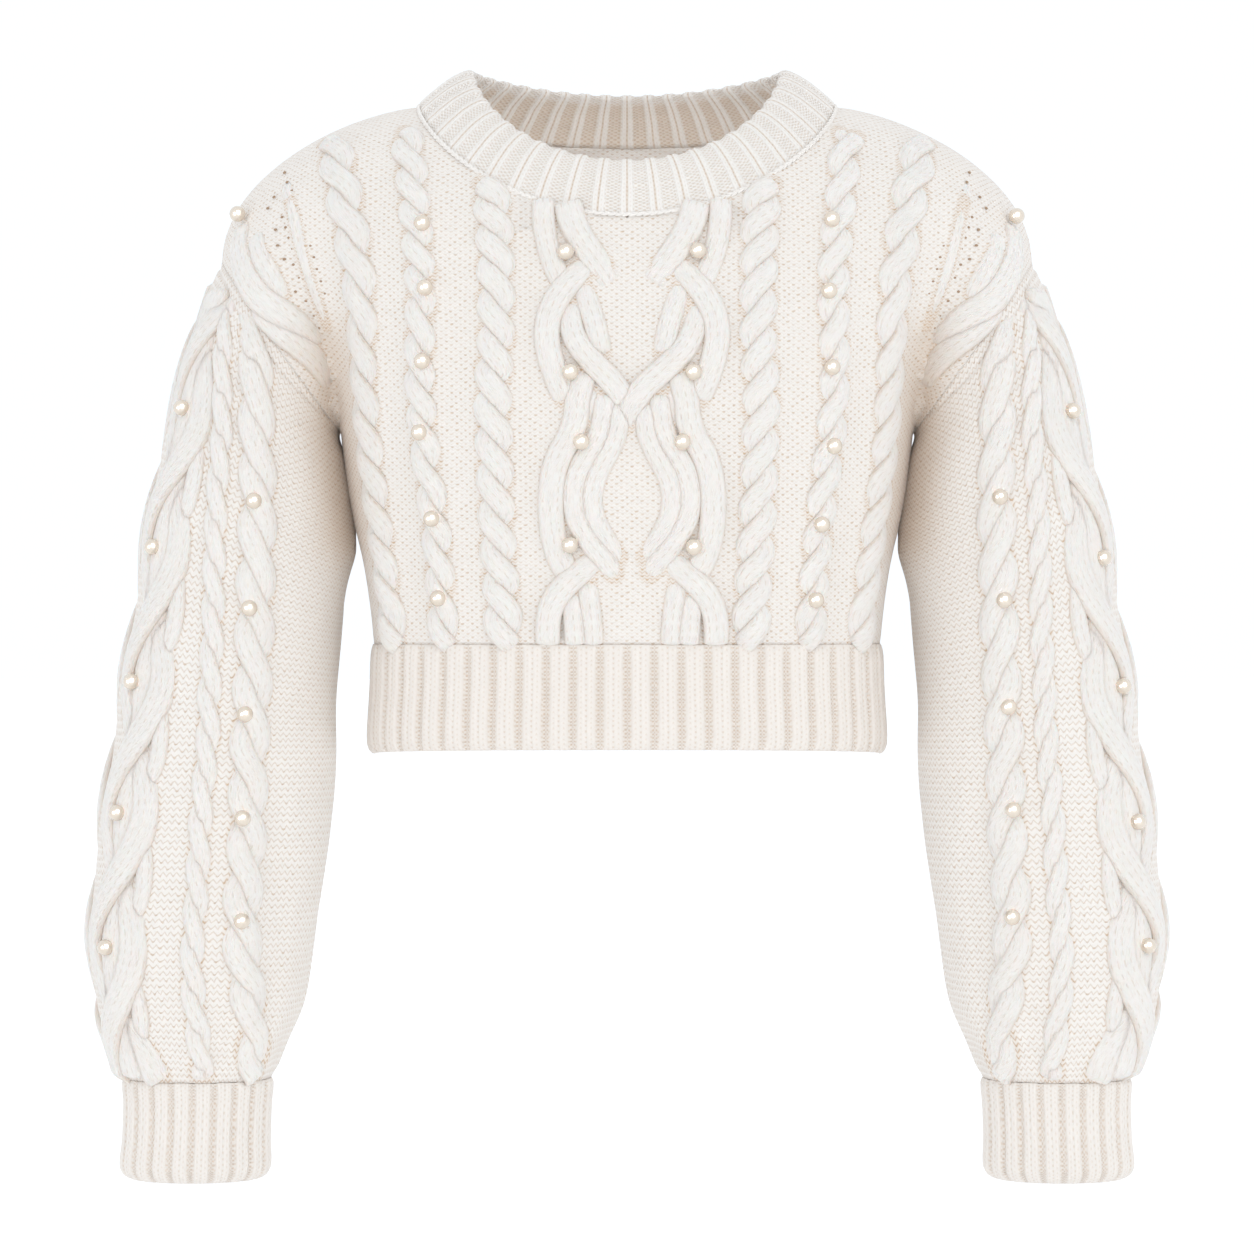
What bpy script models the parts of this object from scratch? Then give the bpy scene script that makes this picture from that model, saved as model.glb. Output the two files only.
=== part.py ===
"""Cropped cable-knit pullover, filled out as if worn: front, back, two full sleeves, ribs and sewn-on pearls.

Sizes are millimetres until a mesh is made. x runs across, y from front to back and z up, and the origin lies
between the two points where the shoulders meet the neck. The left half is the right half mirrored.
"""

import math

import bmesh
import bpy
import numpy as np
from mathutils import Vector
from mathutils.bvhtree import BVHTree

MM = 0.001
CLOTH_WALL = 4.0
RIB_WALL = 4.5
NECKBAND_WALL = 6.0
SEAM_GAP = 0.3
PEARL_RADIUS = 5.0
AHEAD_OF_GARMENT = 300.0

# How the front and the back are divided: columns across half a panel, rows below and above the underarm.
HALF_COLUMNS = 11
LOW_ROWS = 5
HIGH_ROWS = 12
NECK_ROW_CROWDING = 1.4
SLEEVE_FACETS = 2 * HIGH_ROWS
HEM_FACETS = 44

# Outline of the body seen from the front.
HEM_SEAM_HEIGHT = -331.0
UNDERARM = (177.3, -201.0)
SHOULDER_TIP = (252.4, -94.2)
NECK_HALF_WIDTH = 130.0
NECK_POINT_HEIGHT = 2.5
SHOULDER_FALL_POWER = 1.45
SHOULDER_ROUND_POWER = 0.5
NECK_RIDGE_RISE = 25.0

# Roundness of the body and of the shoulder where the arm leaves it.
TORSO_POWER = 2.5
BLEND_POWER = 4.0
ARM_HALF_WIDTH_AT_TIP = 49.0
ARM_HALF_WIDTH_AT_UNDERARM = 45.8
ARM_AXIS_X_AT_TIP = 202.5
ARM_AXIS_X_AT_UNDERARM = 224.0
ARM_ARCH = 70.0

FRONT, BACK = -1, 1
SIDES = {
    FRONT: {"arch": 100.0, "arm_depth": 56.0, "neck_drop": 73.0, "neck_power": 1.37, "rows_to_neck": 4},
    BACK: {"arch": 80.0, "arm_depth": 58.0, "neck_drop": 13.0, "neck_power": 1.2, "rows_to_neck": 5},
}

TORSO_COLUMNS = ("height", "half_width", "front_depth", "back_depth")
TORSO = (
    (-399.0, 160.5, 99.0, 94.0),
    (-331.0, 158.0, 104.0, 96.0),
    (-290.0, 162.5, 109.0, 97.0),
    (-250.0, 169.5, 114.0, 99.0),
    (-201.0, 177.3, 118.0, 104.0),
    (-160.0, 184.0, 117.0, 107.0),
    (-120.0, 197.0, 110.0, 107.0),
    (-73.0, 212.0, 98.0, 103.0),
    (-30.0, 223.0, 91.0, 97.0),
    (25.0, 240.0, 84.0, 88.0),
)

# Sections down a sleeve: the outer and inner ends of each, the half depths and how far it swings forward.
SLEEVE_COLUMNS = ("outer_x", "outer_z", "inner_x", "inner_z", "front_depth", "back_depth", "centre_y")
SLEEVE = (
    (252.4, -94.2, 177.3, -201.0, 56.0, 58.0, 0.0),
    (263.5, -121.0, 176.9, -216.0, 57.0, 59.0, 0.0),
    (272.0, -149.0, 173.2, -238.0, 58.0, 60.0, -1.0),
    (281.0, -183.0, 171.0, -260.0, 60.0, 61.0, -2.0),
    (290.8, -223.0, 171.4, -279.0, 61.0, 62.0, -3.0),
    (298.6, -266.0, 173.7, -304.0, 62.0, 62.0, -4.0),
    (304.9, -310.0, 176.3, -333.0, 62.0, 62.0, -5.0),
    (313.1, -353.0, 178.5, -366.0, 62.0, 62.0, -6.0),
    (319.1, -397.0, 178.7, -400.0, 62.0, 62.0, -8.0),
    (325.6, -437.0, 181.2, -437.0, 62.0, 61.0, -10.0),
    (328.7, -474.0, 186.2, -474.0, 61.0, 60.0, -11.0),
    (331.6, -515.0, 192.0, -515.0, 60.0, 58.0, -13.0),
    (327.7, -551.0, 198.1, -551.0, 57.0, 54.0, -14.0),
    (319.9, -577.0, 208.9, -577.0, 49.0, 47.0, -15.0),
    (311.4, -598.0, 217.7, -598.0, 41.0, 40.0, -16.0),
)
CUFF = (
    (311.2, -598.3, 217.9, -598.3, 41.0, 40.0, -16.0),
    (309.3, -612.0, 220.1, -612.0, 38.0, 38.0, -16.0),
    (309.8, -635.0, 221.0, -635.0, 37.5, 37.5, -16.5),
    (311.3, -652.0, 220.7, -652.0, 38.5, 38.5, -17.0),
    (307.5, -660.0, 224.5, -660.0, 36.5, 36.5, -17.0),
)

# Rings of the hem rib from its seam down: the height, and how far the ring stands out from the body's form.
HEM = ((-331.3, 0.0), (-350.0, 0.6), (-384.0, 0.6), (-395.0, 0.0), (-399.0, -2.0))
HEM_MIDDLE_LIFT = 4.5

# The neckband from its seam to its top edge: the share of the way up, and how far it bows outwards.
NECKBAND = ((0.0, 0.0), (0.3, 2.0), (0.6, 2.8), (0.88, 1.6), (1.0, 0.0))
NECK_TOP_HALF_WIDTH = 97.0
NECK_TOP_HEIGHT = 26.0
NECK_TOP = {
    FRONT: {"depth": 85.0, "drop": 64.0, "power": 1.25},
    BACK: {"depth": 66.0, "drop": 9.0, "power": 2.4},
}

# Lines of pearls: where each line runs, as (distance from the centre, height) from top to bottom, and the
# heights at which a pearl is sewn on it, on the wearer's right (negative x) and left.
CENTRE_MOTIF_SHIFT = 2.9
PEARL_LINES = {
    "body": {
        "line": (
            (123.3, -76.0), (121.2, -118.0), (122.9, -163.0),
            (124.5, -208.0), (117.2, -257.0), (113.7, -304.0),
        ),
        "right_heights": (-77.6, -117.1, -161.3, -203.8, -255.6, -303.3),
        "left_heights": (-75.2, -118.9, -164.9, -212.1, -259.1, -304.4),
    },
    "motif": {
        "line": ((39.6, -96.0), (36.7, -168.6), (30.1, -210.3), (37.0, -272.0)),
        "right_heights": (-96.1, -168.6, -210.3, -271.6),
        "left_heights": (-95.4, -168.6, -210.3, -272.8),
    },
    "shoulder": {
        "line": ((239.0, -60.0), (239.6, -72.0)),
        "right_heights": (-66.7,),
        "left_heights": (-68.0,),
    },
    "sleeve_outer": {
        "line": ((272.6, -187.0), (290.7, -275.0), (302.9, -355.0), (310.9, -436.0), (317.3, -515.0)),
        "right_heights": (-186.4, -271.5, -353.6, -433.6, -514.7),
        "left_heights": (-188.2, -278.3, -356.6, -439.1, -515.3),
    },
    "sleeve_inner": {
        "line": ((226.1, -243.0), (228.6, -307.0), (231.1, -371.0), (232.4, -434.0), (233.0, -497.0)),
        "right_heights": (-244.0, -309.1, -373.3, -436.2, -498.4),
        "left_heights": (-241.6, -304.2, -369.0, -431.3, -496.0),
    },
}

CREAM = (0.83, 0.78, 0.71, 1.0)
PEARL_CREAM = (0.86, 0.79, 0.66, 1.0)


def column(table, names, name):
    return np.array([row[names.index(name)] for row in table])


def smooth(at, knots, values):
    """Value of a smooth curve through the knots, which may run up or down; it is level past both ends."""
    knots, values = np.asarray(knots, float), np.asarray(values, float)
    if knots[0] > knots[-1]:
        knots, values = knots[::-1], values[::-1]
    at = np.clip(np.asarray(at, float), knots[0], knots[-1])
    slopes = np.gradient(values, knots)
    low = np.clip(np.searchsorted(knots, at, side="right") - 1, 0, len(knots) - 2)
    span = knots[low + 1] - knots[low]
    t = (at - knots[low]) / span
    return (
        values[low] * (1 + 2 * t) * (1 - t) ** 2
        + slopes[low] * span * t * (1 - t) ** 2
        + values[low + 1] * t * t * (3 - 2 * t)
        + slopes[low + 1] * span * t * t * (t - 1)
    )


def torso(name, height):
    return smooth(height, column(TORSO, TORSO_COLUMNS, "height"), column(TORSO, TORSO_COLUMNS, name))


def shoulder_share(across):
    """Share of the shoulder's fall that is done this far from the neck (0) to the tip (1)."""
    return 1 - (1 - np.clip(across, 0, 1) ** SHOULDER_FALL_POWER) ** SHOULDER_ROUND_POWER


def ridge_height(x):
    """Top outline of the body: it falls to the shoulder tip, and closes over the neck hole as a guide."""
    x = np.abs(x)
    across = (x - NECK_HALF_WIDTH) / (SHOULDER_TIP[0] - NECK_HALF_WIDTH)
    over_neck = NECK_RIDGE_RISE * (1 - (x / NECK_HALF_WIDTH) ** 2)
    fall = (SHOULDER_TIP[1] - NECK_POINT_HEIGHT) * shoulder_share(across)
    return NECK_POINT_HEIGHT + np.where(x < NECK_HALF_WIDTH, over_neck, fall)


def arch(below_ridge, reach):
    t = np.clip(below_ridge / reach, 0, 1)
    return np.sqrt(1 - (1 - t) ** 2)


def body_depth(x, z, side):
    """How far the body's cloth stands out from the middle plane, as seen from the front or the back."""
    x = np.abs(x)
    below = ridge_height(x) - z
    reach = np.clip(x / torso("half_width", z), 0, 1)
    depth = torso("front_depth" if side == FRONT else "back_depth", z)
    chest = depth * (1 - reach**TORSO_POWER) ** (1 / TORSO_POWER) * arch(below, SIDES[side]["arch"])
    down = (SHOULDER_TIP[1] - z) / (SHOULDER_TIP[1] - UNDERARM[1])
    axis_x = ARM_AXIS_X_AT_TIP + (ARM_AXIS_X_AT_UNDERARM - ARM_AXIS_X_AT_TIP) * down
    lean = math.cos(math.atan2(ARM_AXIS_X_AT_UNDERARM - ARM_AXIS_X_AT_TIP, SHOULDER_TIP[1] - UNDERARM[1]))
    half = ARM_HALF_WIDTH_AT_TIP + (ARM_HALF_WIDTH_AT_UNDERARM - ARM_HALF_WIDTH_AT_TIP) * down
    away = np.clip(np.abs(x - axis_x) * lean / half, 0, 1)
    arm = SIDES[side]["arm_depth"] * np.sqrt(1 - away**2) * arch(below, ARM_ARCH)
    return (chest**BLEND_POWER + arm**BLEND_POWER) ** (1 / BLEND_POWER)


def neck_seam(angle, side):
    """Point of the neck seam, from the shoulder (0) to the middle of the front or back (a right angle)."""
    x = NECK_HALF_WIDTH * np.maximum(np.cos(angle), 0)
    x = np.where(x < 1e-9, 0, x)
    drop = SIDES[side]["neck_drop"] + NECK_POINT_HEIGHT
    z = NECK_POINT_HEIGHT - drop * np.sin(angle) ** SIDES[side]["neck_power"]
    return x, z


def neck_angles(side):
    """Where the rows of a panel end on its neck seam, from the middle to the shoulder, closer at the top."""
    steps = HIGH_ROWS - SIDES[side]["rows_to_neck"]
    return math.pi / 2 * np.linspace(1, 0, steps + 1) ** NECK_ROW_CROWDING


def row_ends(row, side):
    """Both ends of a row of a panel; row 0 is at the underarm and the rows below it are negative."""
    if row <= 0:
        z = UNDERARM[1] + row / LOW_ROWS * (UNDERARM[1] - HEM_SEAM_HEIGHT)
        return (0.0, z), (float(torso("half_width", z)), z)
    up_armhole = (1 - math.cos(math.pi * row / HIGH_ROWS)) / 2
    outer = tuple(low + (high - low) * up_armhole for low, high in zip(UNDERARM, SHOULDER_TIP))
    to_neck = SIDES[side]["rows_to_neck"]
    if row < to_neck:
        neck_z = -SIDES[side]["neck_drop"]
        return (0.0, UNDERARM[1] + (neck_z - UNDERARM[1]) * row / to_neck), outer
    x, z = neck_seam(neck_angles(side)[row - to_neck], side)
    return (float(x), float(z)), outer


def unit(vectors):
    return vectors / np.linalg.norm(vectors, axis=-1, keepdims=True)


def armhole_rim(points):
    """Directions from the armhole's edge to the inside of its seam, which the panels and the sleeve share."""
    middle = np.array([(UNDERARM[0] + SHOULDER_TIP[0]) / 2, 0.0, (UNDERARM[1] + SHOULDER_TIP[1]) / 2])
    above_underarm = np.array([UNDERARM[0] + 9.6, 0.0, UNDERARM[1] + 79.2])
    along = np.array([SHOULDER_TIP[0] - middle[0], 0.0, SHOULDER_TIP[1] - middle[2]])
    share = np.clip(((points - middle) @ along) / (along @ along), -1, 1)[:, None] ** 2
    return unit(middle + (above_underarm - middle) * share - points)


def neck_rim(points):
    """Directions from the neck seam to its inside: halfway between the body's and the neckband's own."""
    inward = np.stack([-points[:, 0], -points[:, 1], np.zeros(len(points))], axis=1)
    return unit(unit(inward) * 0.55 + np.array([0.0, 0.0, -1.0]) * 0.85)


def grid_normals(points, closed=False):
    """Normals of a grid of points; closed says that its rows are rings."""
    if closed:
        padded = np.concatenate([points[:, -1:], points, points[:, :1]], axis=1)
        along = (padded[:, 2:] - padded[:, :-2]) / 2
    else:
        along = np.gradient(points, axis=1)
    return unit(np.cross(along, np.gradient(points, axis=0)))


def make_object(name, collection, material, vertices, faces):
    mesh = bpy.data.meshes.new(name)
    mesh.from_pydata([tuple(v * MM) for v in vertices], [], faces)
    mesh.materials.append(material)
    bm = bmesh.new()
    bm.from_mesh(mesh)
    bmesh.ops.recalc_face_normals(bm, faces=bm.faces)
    # Both sides of a seam are cut along the same diagonals, so that they stay the seam's gap apart.
    bmesh.ops.triangulate(bm, faces=bm.faces, quad_method="SHORT_EDGE")
    bm.to_mesh(mesh)
    bm.free()
    mesh.shade_smooth()
    mesh.set_sharp_from_angle(angle=math.radians(50))
    obj = bpy.data.objects.new(name, mesh)
    collection.objects.link(obj)
    return obj


def make_wall(name, collection, material, outer, inner, closed):
    """A wall of cloth between two grids of points of the same shape, closed along all its edges."""
    rows, columns = outer.shape[:2]
    vertices = np.concatenate([outer.reshape(-1, 3), inner.reshape(-1, 3)])
    inside = rows * columns
    spans = columns if closed else columns - 1
    faces = []
    for row in range(rows - 1):
        for start in range(spans):
            end = (start + 1) % columns
            low, high = row * columns, (row + 1) * columns
            corners = [low + start, low + end, high + end, high + start]
            faces.append(corners)
            faces.append([inside + c for c in reversed(corners)])
    for row in (0, rows - 1):
        for start in range(spans):
            a, b = row * columns + start, row * columns + (start + 1) % columns
            faces.append([a, b, inside + b, inside + a])
    if not closed:
        for edge in (0, columns - 1):
            for row in range(rows - 1):
                a, b = row * columns + edge, (row + 1) * columns + edge
                faces.append([a, b, inside + b, inside + a])
    return make_object(name, collection, material, vertices, faces)


def half_panel(side):
    """Outer points and inward directions of half a panel, from its middle or neck edge to its side edge."""
    turns = np.sin(np.linspace(0, math.pi / 2, HALF_COLUMNS + 1))
    rows = []
    for row in range(-LOW_ROWS, HIGH_ROWS + 1):
        (x0, z0), (x1, z1) = row_ends(row, side)
        x = x0 + (x1 - x0) * turns
        z = z0 + (z1 - z0) * shoulder_share(turns)
        rows.append(np.stack([x, side * body_depth(x, z, side), z], axis=1))
    points = np.array(rows)
    inward = grid_normals(points) * side
    inward[0, :, 2] = 0
    inward[-1, :, 1] = 0
    inward[:, -1, 1] = 0
    inward[:, 0, 0] *= (points[:, 0, 0] > 0)
    inward = unit(inward)
    first_on_neck = LOW_ROWS + SIDES[side]["rows_to_neck"]
    inward[first_on_neck:, 0] = neck_rim(points[first_on_neck:, 0])
    inward[LOW_ROWS:, -1] = armhole_rim(points[LOW_ROWS:, -1])
    return points, inward


def seam_pull(points, side):
    """Moves a half panel's edges back from the seams they share with other pieces."""
    half = SEAM_GAP / 2
    along = np.array([SHOULDER_TIP[0] - UNDERARM[0], SHOULDER_TIP[1] - UNDERARM[1]])
    across = np.array([-along[1], 0.0, along[0]]) / np.linalg.norm(along)
    moved = points.copy()
    moved[..., 1] += side * half
    moved[0, :, 2] += half
    moved[LOW_ROWS:, -1] -= across * half * (1 if across[0] > 0 else -1)
    return moved


def make_panel(name, side, collection, material):
    points, inward = half_panel(side)
    outer = seam_pull(points, side)
    inner = seam_pull(points + inward * CLOTH_WALL, side)
    mirror = np.array([-1.0, 1.0, 1.0])
    low = LOW_ROWS + SIDES[side]["rows_to_neck"] + 1
    # Rows below the neck run right across; above it each shoulder has its own strip of rows.
    vertices, faces = [], []

    def add(point):
        vertices.append(point)
        return len(vertices) - 1

    def grid_index(grid):
        right = [[add(p) for p in row] for row in grid]
        left = [
            [right[i][j] if j == 0 and i < low else add(grid[i, j] * mirror) for j in range(grid.shape[1])]
            for i in range(grid.shape[0])
        ]
        return right, left

    skins = [grid_index(outer), grid_index(inner)]
    rows, columns = points.shape[:2]
    for half in (0, 1):
        skin, lining = skins[0][half], skins[1][half]
        for i in range(rows - 1):
            for j in range(columns - 1):
                faces.append([skin[i][j], skin[i][j + 1], skin[i + 1][j + 1], skin[i + 1][j]])
                faces.append([lining[i + 1][j], lining[i + 1][j + 1], lining[i][j + 1], lining[i][j]])
        edges = [(0, j, 0, j + 1) for j in range(columns - 1)]
        edges += [(rows - 1, j, rows - 1, j + 1) for j in range(columns - 1)]
        edges += [(i, columns - 1, i + 1, columns - 1) for i in range(rows - 1)]
        edges += [(i, 0, i + 1, 0) for i in range(low - 1, rows - 1)]
        for i, j, k, m in edges:
            faces.append([skin[i][j], skin[k][m], lining[k][m], lining[i][j]])
    return make_object(name, collection, material, vertices, faces)


def section_values(table, at):
    """Values of a table of sections at a place that may lie between two of its rows."""
    knots = np.arange(len(table))
    return {name: smooth(at, knots, column(table, SLEEVE_COLUMNS, name)) for name in SLEEVE_COLUMNS}


def tube_ring(table, at, angles):
    """One section of a sleeve or cuff: the outer end is at angle 0, the front at a quarter turn."""
    values = section_values(table, at)
    share = (1 + np.cos(angles)) / 2
    x = values["inner_x"] + (values["outer_x"] - values["inner_x"]) * share
    z = values["inner_z"] + (values["outer_z"] - values["inner_z"]) * share
    swing = np.sin(angles)
    depth = np.where(swing > 0, values["front_depth"], values["back_depth"])
    y = values["centre_y"] - depth * swing
    if table is SLEEVE and at == 0:
        y = np.where(swing > 0, -body_depth(x, z, FRONT), body_depth(x, z, BACK))
    return np.stack([x, y, z], axis=-1)


def tube_angles():
    return np.linspace(0, 2 * math.pi, SLEEVE_FACETS, endpoint=False)


def make_tube(name, table, wall, mirrored, collection, material):
    angles = tube_angles()
    outer = np.array([tube_ring(table, at, angles) for at in range(len(table))])
    inward = -grid_normals(outer, closed=True)
    centre = outer.mean(axis=1, keepdims=True)
    inward *= np.sign(((centre - outer) * inward).sum(axis=-1, keepdims=True))
    if table is SLEEVE:
        inward[0] = armhole_rim(outer[0])
        inward[-1, :, 2] = 0
        across = np.array([SHOULDER_TIP[1] - UNDERARM[1], 0.0, UNDERARM[0] - SHOULDER_TIP[0]])
        outer[0] += unit(across) * SEAM_GAP / 2
    else:
        inward[0, :, 2] = 0
    inward = unit(inward)
    inner = outer + inward * wall
    if mirrored:
        outer, inner = outer * [-1, 1, 1], inner * [-1, 1, 1]
    return make_wall(name, collection, material, outer, inner, closed=True)


def body_ring(height, grow, facets):
    angles = np.linspace(0, 2 * math.pi, facets, endpoint=False)
    width = torso("half_width", height) + grow
    swing, turn = np.sin(angles), np.cos(angles)
    depth = np.where(swing > 0, torso("front_depth", height), torso("back_depth", height)) + grow
    power = 2 / TORSO_POWER
    x = width * np.sign(turn) * np.abs(turn) ** power
    y = -depth * np.sign(swing) * np.abs(swing) ** power
    z = height + HEM_MIDDLE_LIFT * (HEM[0][0] - height) / (HEM[0][0] - HEM[-1][0]) * np.abs(swing) ** power
    return np.stack([x, y, z], axis=-1)


def make_hem_rib(collection, material):
    outer = np.array([body_ring(height, grow, HEM_FACETS) for height, grow in HEM])
    inward = grid_normals(outer, closed=True)
    inward *= np.sign((-outer[..., :2] * inward[..., :2]).sum(axis=-1, keepdims=True))
    inward[:, :, 2] = 0
    return make_wall("hem_rib", collection, material, outer, outer + unit(inward) * RIB_WALL, closed=True)


def neckband_rings():
    """Rings of the neckband from its seam up, with the directions to its inside."""
    seam, top = [], []
    for side, start, end in ((FRONT, 1, -1), (BACK, -1, 1)):
        tops = NECK_TOP[side]
        quarter = neck_angles(side)
        # From one shoulder to the middle, then on towards the other shoulder, which is left out.
        path = [(start, angle) for angle in quarter[::-1]] + [(end, angle) for angle in quarter[1:-1]]
        for hand, angle in path:
            x, z = neck_seam(angle, side)
            seam.append((hand * x, side * body_depth(x, z, side), z))
            swing = math.sin(angle)
            top_z = NECK_TOP_HEIGHT - tops["drop"] * swing ** tops["power"]
            top.append((hand * NECK_TOP_HALF_WIDTH * math.cos(angle), side * tops["depth"] * swing, top_z))
    seam, top = np.array(seam), np.array(top)
    up = unit(top - seam)
    rim = neck_rim(seam)
    middle = (seam + top) / 2
    inside = np.stack([-middle[:, 0], -middle[:, 1], np.zeros(len(middle))], axis=1)
    own = unit(unit(inside) - up * (unit(inside) * up).sum(axis=-1, keepdims=True))
    outer, inner = [], []
    for share, bow in NECKBAND:
        points = seam + (top - seam) * share - own * bow
        direction = unit(rim + (own - rim) * min(1, share * 3))
        if share == 0:
            points = points + up * SEAM_GAP
        outer.append(points)
        inner.append(points + direction * NECKBAND_WALL)
    return np.array(outer), np.array(inner)


def surface_tree(obj):
    return BVHTree.FromPolygons([v.co for v in obj.data.vertices], [p.vertices for p in obj.data.polygons])


def pearl_centre(cloth, x, z):
    """Centre of a pearl that shows at this place from the front and rests on a piece of cloth."""
    lift = PEARL_RADIUS + SEAM_GAP
    foot_x, foot_z = x, z
    for _ in range(6):
        start = Vector((foot_x, -AHEAD_OF_GARMENT, foot_z)) * MM
        foot, normal, _, _ = cloth.ray_cast(start, Vector((0, 1, 0)))
        centre = foot / MM + normal * lift
        foot_x += x - centre.x
        foot_z += z - centre.z
    nearest, _, _, distance = cloth.find_nearest(centre * MM)
    return centre + (centre - nearest / MM).normalized() * (lift - distance / MM)


def make_pearls(cloth_pieces, collection, material):
    mesh = bpy.data.meshes.new("pearl")
    bm = bmesh.new()
    bmesh.ops.create_icosphere(bm, subdivisions=2, radius=PEARL_RADIUS * MM)
    bm.to_mesh(mesh)
    bm.free()
    mesh.materials.append(material)
    mesh.shade_smooth()
    for line_name, line in PEARL_LINES.items():
        line_x, line_z = np.array(line["line"]).T
        for hand, sign in (("right", -1), ("left", 1)):
            cloth = cloth_pieces[f"sleeve_{hand}" if line_name.startswith("sleeve") else "front_panel"]
            for number, height in enumerate(line[hand + "_heights"], start=1):
                x = float(smooth(height, line_z, line_x))
                middle = CENTRE_MOTIF_SHIFT if line_name == "motif" else 0
                pearl = bpy.data.objects.new(f"pearl_{line_name}_{hand}_{number}", mesh)
                pearl.location = pearl_centre(cloth, middle + sign * x, height) * MM
                collection.objects.link(pearl)


def make_material(name, colour, roughness):
    material = bpy.data.materials.new(name)
    material.use_nodes = True
    shader = material.node_tree.nodes["Principled BSDF"]
    shader.inputs["Base Color"].default_value = colour
    shader.inputs["Roughness"].default_value = roughness
    return material


def main():
    for obj in list(bpy.data.objects):
        bpy.data.objects.remove(obj)
    collection = bpy.data.collections.new("cable_knit_pullover")
    bpy.context.scene.collection.children.link(collection)
    wool = make_material("cream_wool", CREAM, 0.9)
    rib = make_material("cream_wool_rib", CREAM, 0.9)
    pearl = make_material("pearl", PEARL_CREAM, 0.25)
    pieces = [
        make_panel("front_panel", FRONT, collection, wool),
        make_panel("back_panel", BACK, collection, wool),
    ]
    for hand, mirrored in (("left", False), ("right", True)):
        pieces.append(make_tube(f"sleeve_{hand}", SLEEVE, CLOTH_WALL, mirrored, collection, wool))
        make_tube(f"cuff_{hand}", CUFF, RIB_WALL, mirrored, collection, rib)
    make_hem_rib(collection, rib)
    outer, inner = neckband_rings()
    make_wall("neckband", collection, rib, outer, inner, closed=True)
    cloth = {piece.name: surface_tree(piece) for piece in pieces}
    make_pearls(cloth, collection, pearl)


main()
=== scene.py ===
import math
import bmesh
import bpy
import numpy as np
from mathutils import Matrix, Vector
from mathutils.kdtree import KDTree


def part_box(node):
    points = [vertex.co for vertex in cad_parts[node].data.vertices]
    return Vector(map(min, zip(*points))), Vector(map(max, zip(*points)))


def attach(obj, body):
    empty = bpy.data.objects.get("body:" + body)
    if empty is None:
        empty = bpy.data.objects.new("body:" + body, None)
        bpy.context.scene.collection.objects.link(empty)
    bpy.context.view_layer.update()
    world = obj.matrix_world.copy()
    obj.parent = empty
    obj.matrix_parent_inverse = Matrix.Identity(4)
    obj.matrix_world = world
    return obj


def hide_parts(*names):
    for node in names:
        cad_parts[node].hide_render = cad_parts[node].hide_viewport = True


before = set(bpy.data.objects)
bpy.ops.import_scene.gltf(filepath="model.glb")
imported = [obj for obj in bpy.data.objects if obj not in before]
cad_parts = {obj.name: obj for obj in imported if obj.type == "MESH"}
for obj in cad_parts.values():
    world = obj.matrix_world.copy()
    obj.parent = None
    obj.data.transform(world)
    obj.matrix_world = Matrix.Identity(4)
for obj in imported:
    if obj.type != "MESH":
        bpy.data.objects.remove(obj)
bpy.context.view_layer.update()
mm = 0.001
front, back = -1, 1
print("frame loaded,", len(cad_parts), "nodes")

# shape of the cloth, in millimetres, the same form as the solids

bodyForm = {
    "hemHeight": -331.0,
    "underarm": (177.3, -201.0),
    "shoulderTip": (252.4, -94.2),
    "neckHalfWidth": 130.0,
    "neckPoint": 2.5,
    "neckRidgeRise": 25.0,
    "torsoPower": 2.5,
    "shoulderPower": 1.45,
    "rowsBelow": 5,  # rows of the form from the hem to the underarm, and from there to the shoulder tip
    "rowsAbove": 12,
    "neckEase": 1.4,
    "rimAbove": (9.6, 79.2),  # where the armhole's seam leans, from the underarm
    "rimInward": 0.55,  # how the neck's seam leans
    "rimDown": 0.85,
    "upperArm": {"axisX": 202.5, "lean": 21.5, "halfWidth": 49.0, "narrowing": 3.2, "arch": 70.0},
    "torso": (  # height, half width, depth in front, depth behind
        (-399.0, 160.5, 99.0, 94.0),
        (-331.0, 158.0, 104.0, 96.0),
        (-290.0, 162.5, 109.0, 97.0),
        (-250.0, 169.5, 114.0, 99.0),
        (-201.0, 177.3, 118.0, 104.0),
        (-160.0, 184.0, 117.0, 107.0),
        (-120.0, 197.0, 110.0, 107.0),
        (-73.0, 212.0, 98.0, 103.0),
        (-30.0, 223.0, 91.0, 97.0),
        (25.0, 240.0, 84.0, 88.0),
    ),
    front: {"arch": 100.0, "armDepth": 56.0, "neckDrop": 73.0, "neckPower": 1.37, "rowsToNeck": 4},
    back: {"arch": 80.0, "armDepth": 58.0, "neckDrop": 13.0, "neckPower": 1.2, "rowsToNeck": 5},
}


def unit(vectors):
    return vectors / np.maximum(np.linalg.norm(vectors, axis=-1, keepdims=True), 1e-9)


def smooth(at, knots, values):
    knots, values = np.asarray(knots, float), np.asarray(values, float)
    if knots[0] > knots[-1]:
        knots, values = knots[::-1], values[::-1]
    at = np.clip(np.asarray(at, float), knots[0], knots[-1])
    slopes = np.gradient(values, knots)
    low = np.clip(np.searchsorted(knots, at, side="right") - 1, 0, len(knots) - 2)
    span = knots[low + 1] - knots[low]
    t = (at - knots[low]) / span
    return (
        values[low] * (1 + 2 * t) * (1 - t) ** 2
        + slopes[low] * span * t * (1 - t) ** 2
        + values[low + 1] * t * t * (3 - 2 * t)
        + slopes[low + 1] * span * t * t * (t - 1)
    )


def torso(column, height):
    rows = bodyForm["torso"]
    return smooth(height, [row[0] for row in rows], [row[column] for row in rows])


def shoulderShare(across):
    return 1 - (1 - np.clip(across, 0, 1) ** bodyForm["shoulderPower"]) ** 0.5


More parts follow.
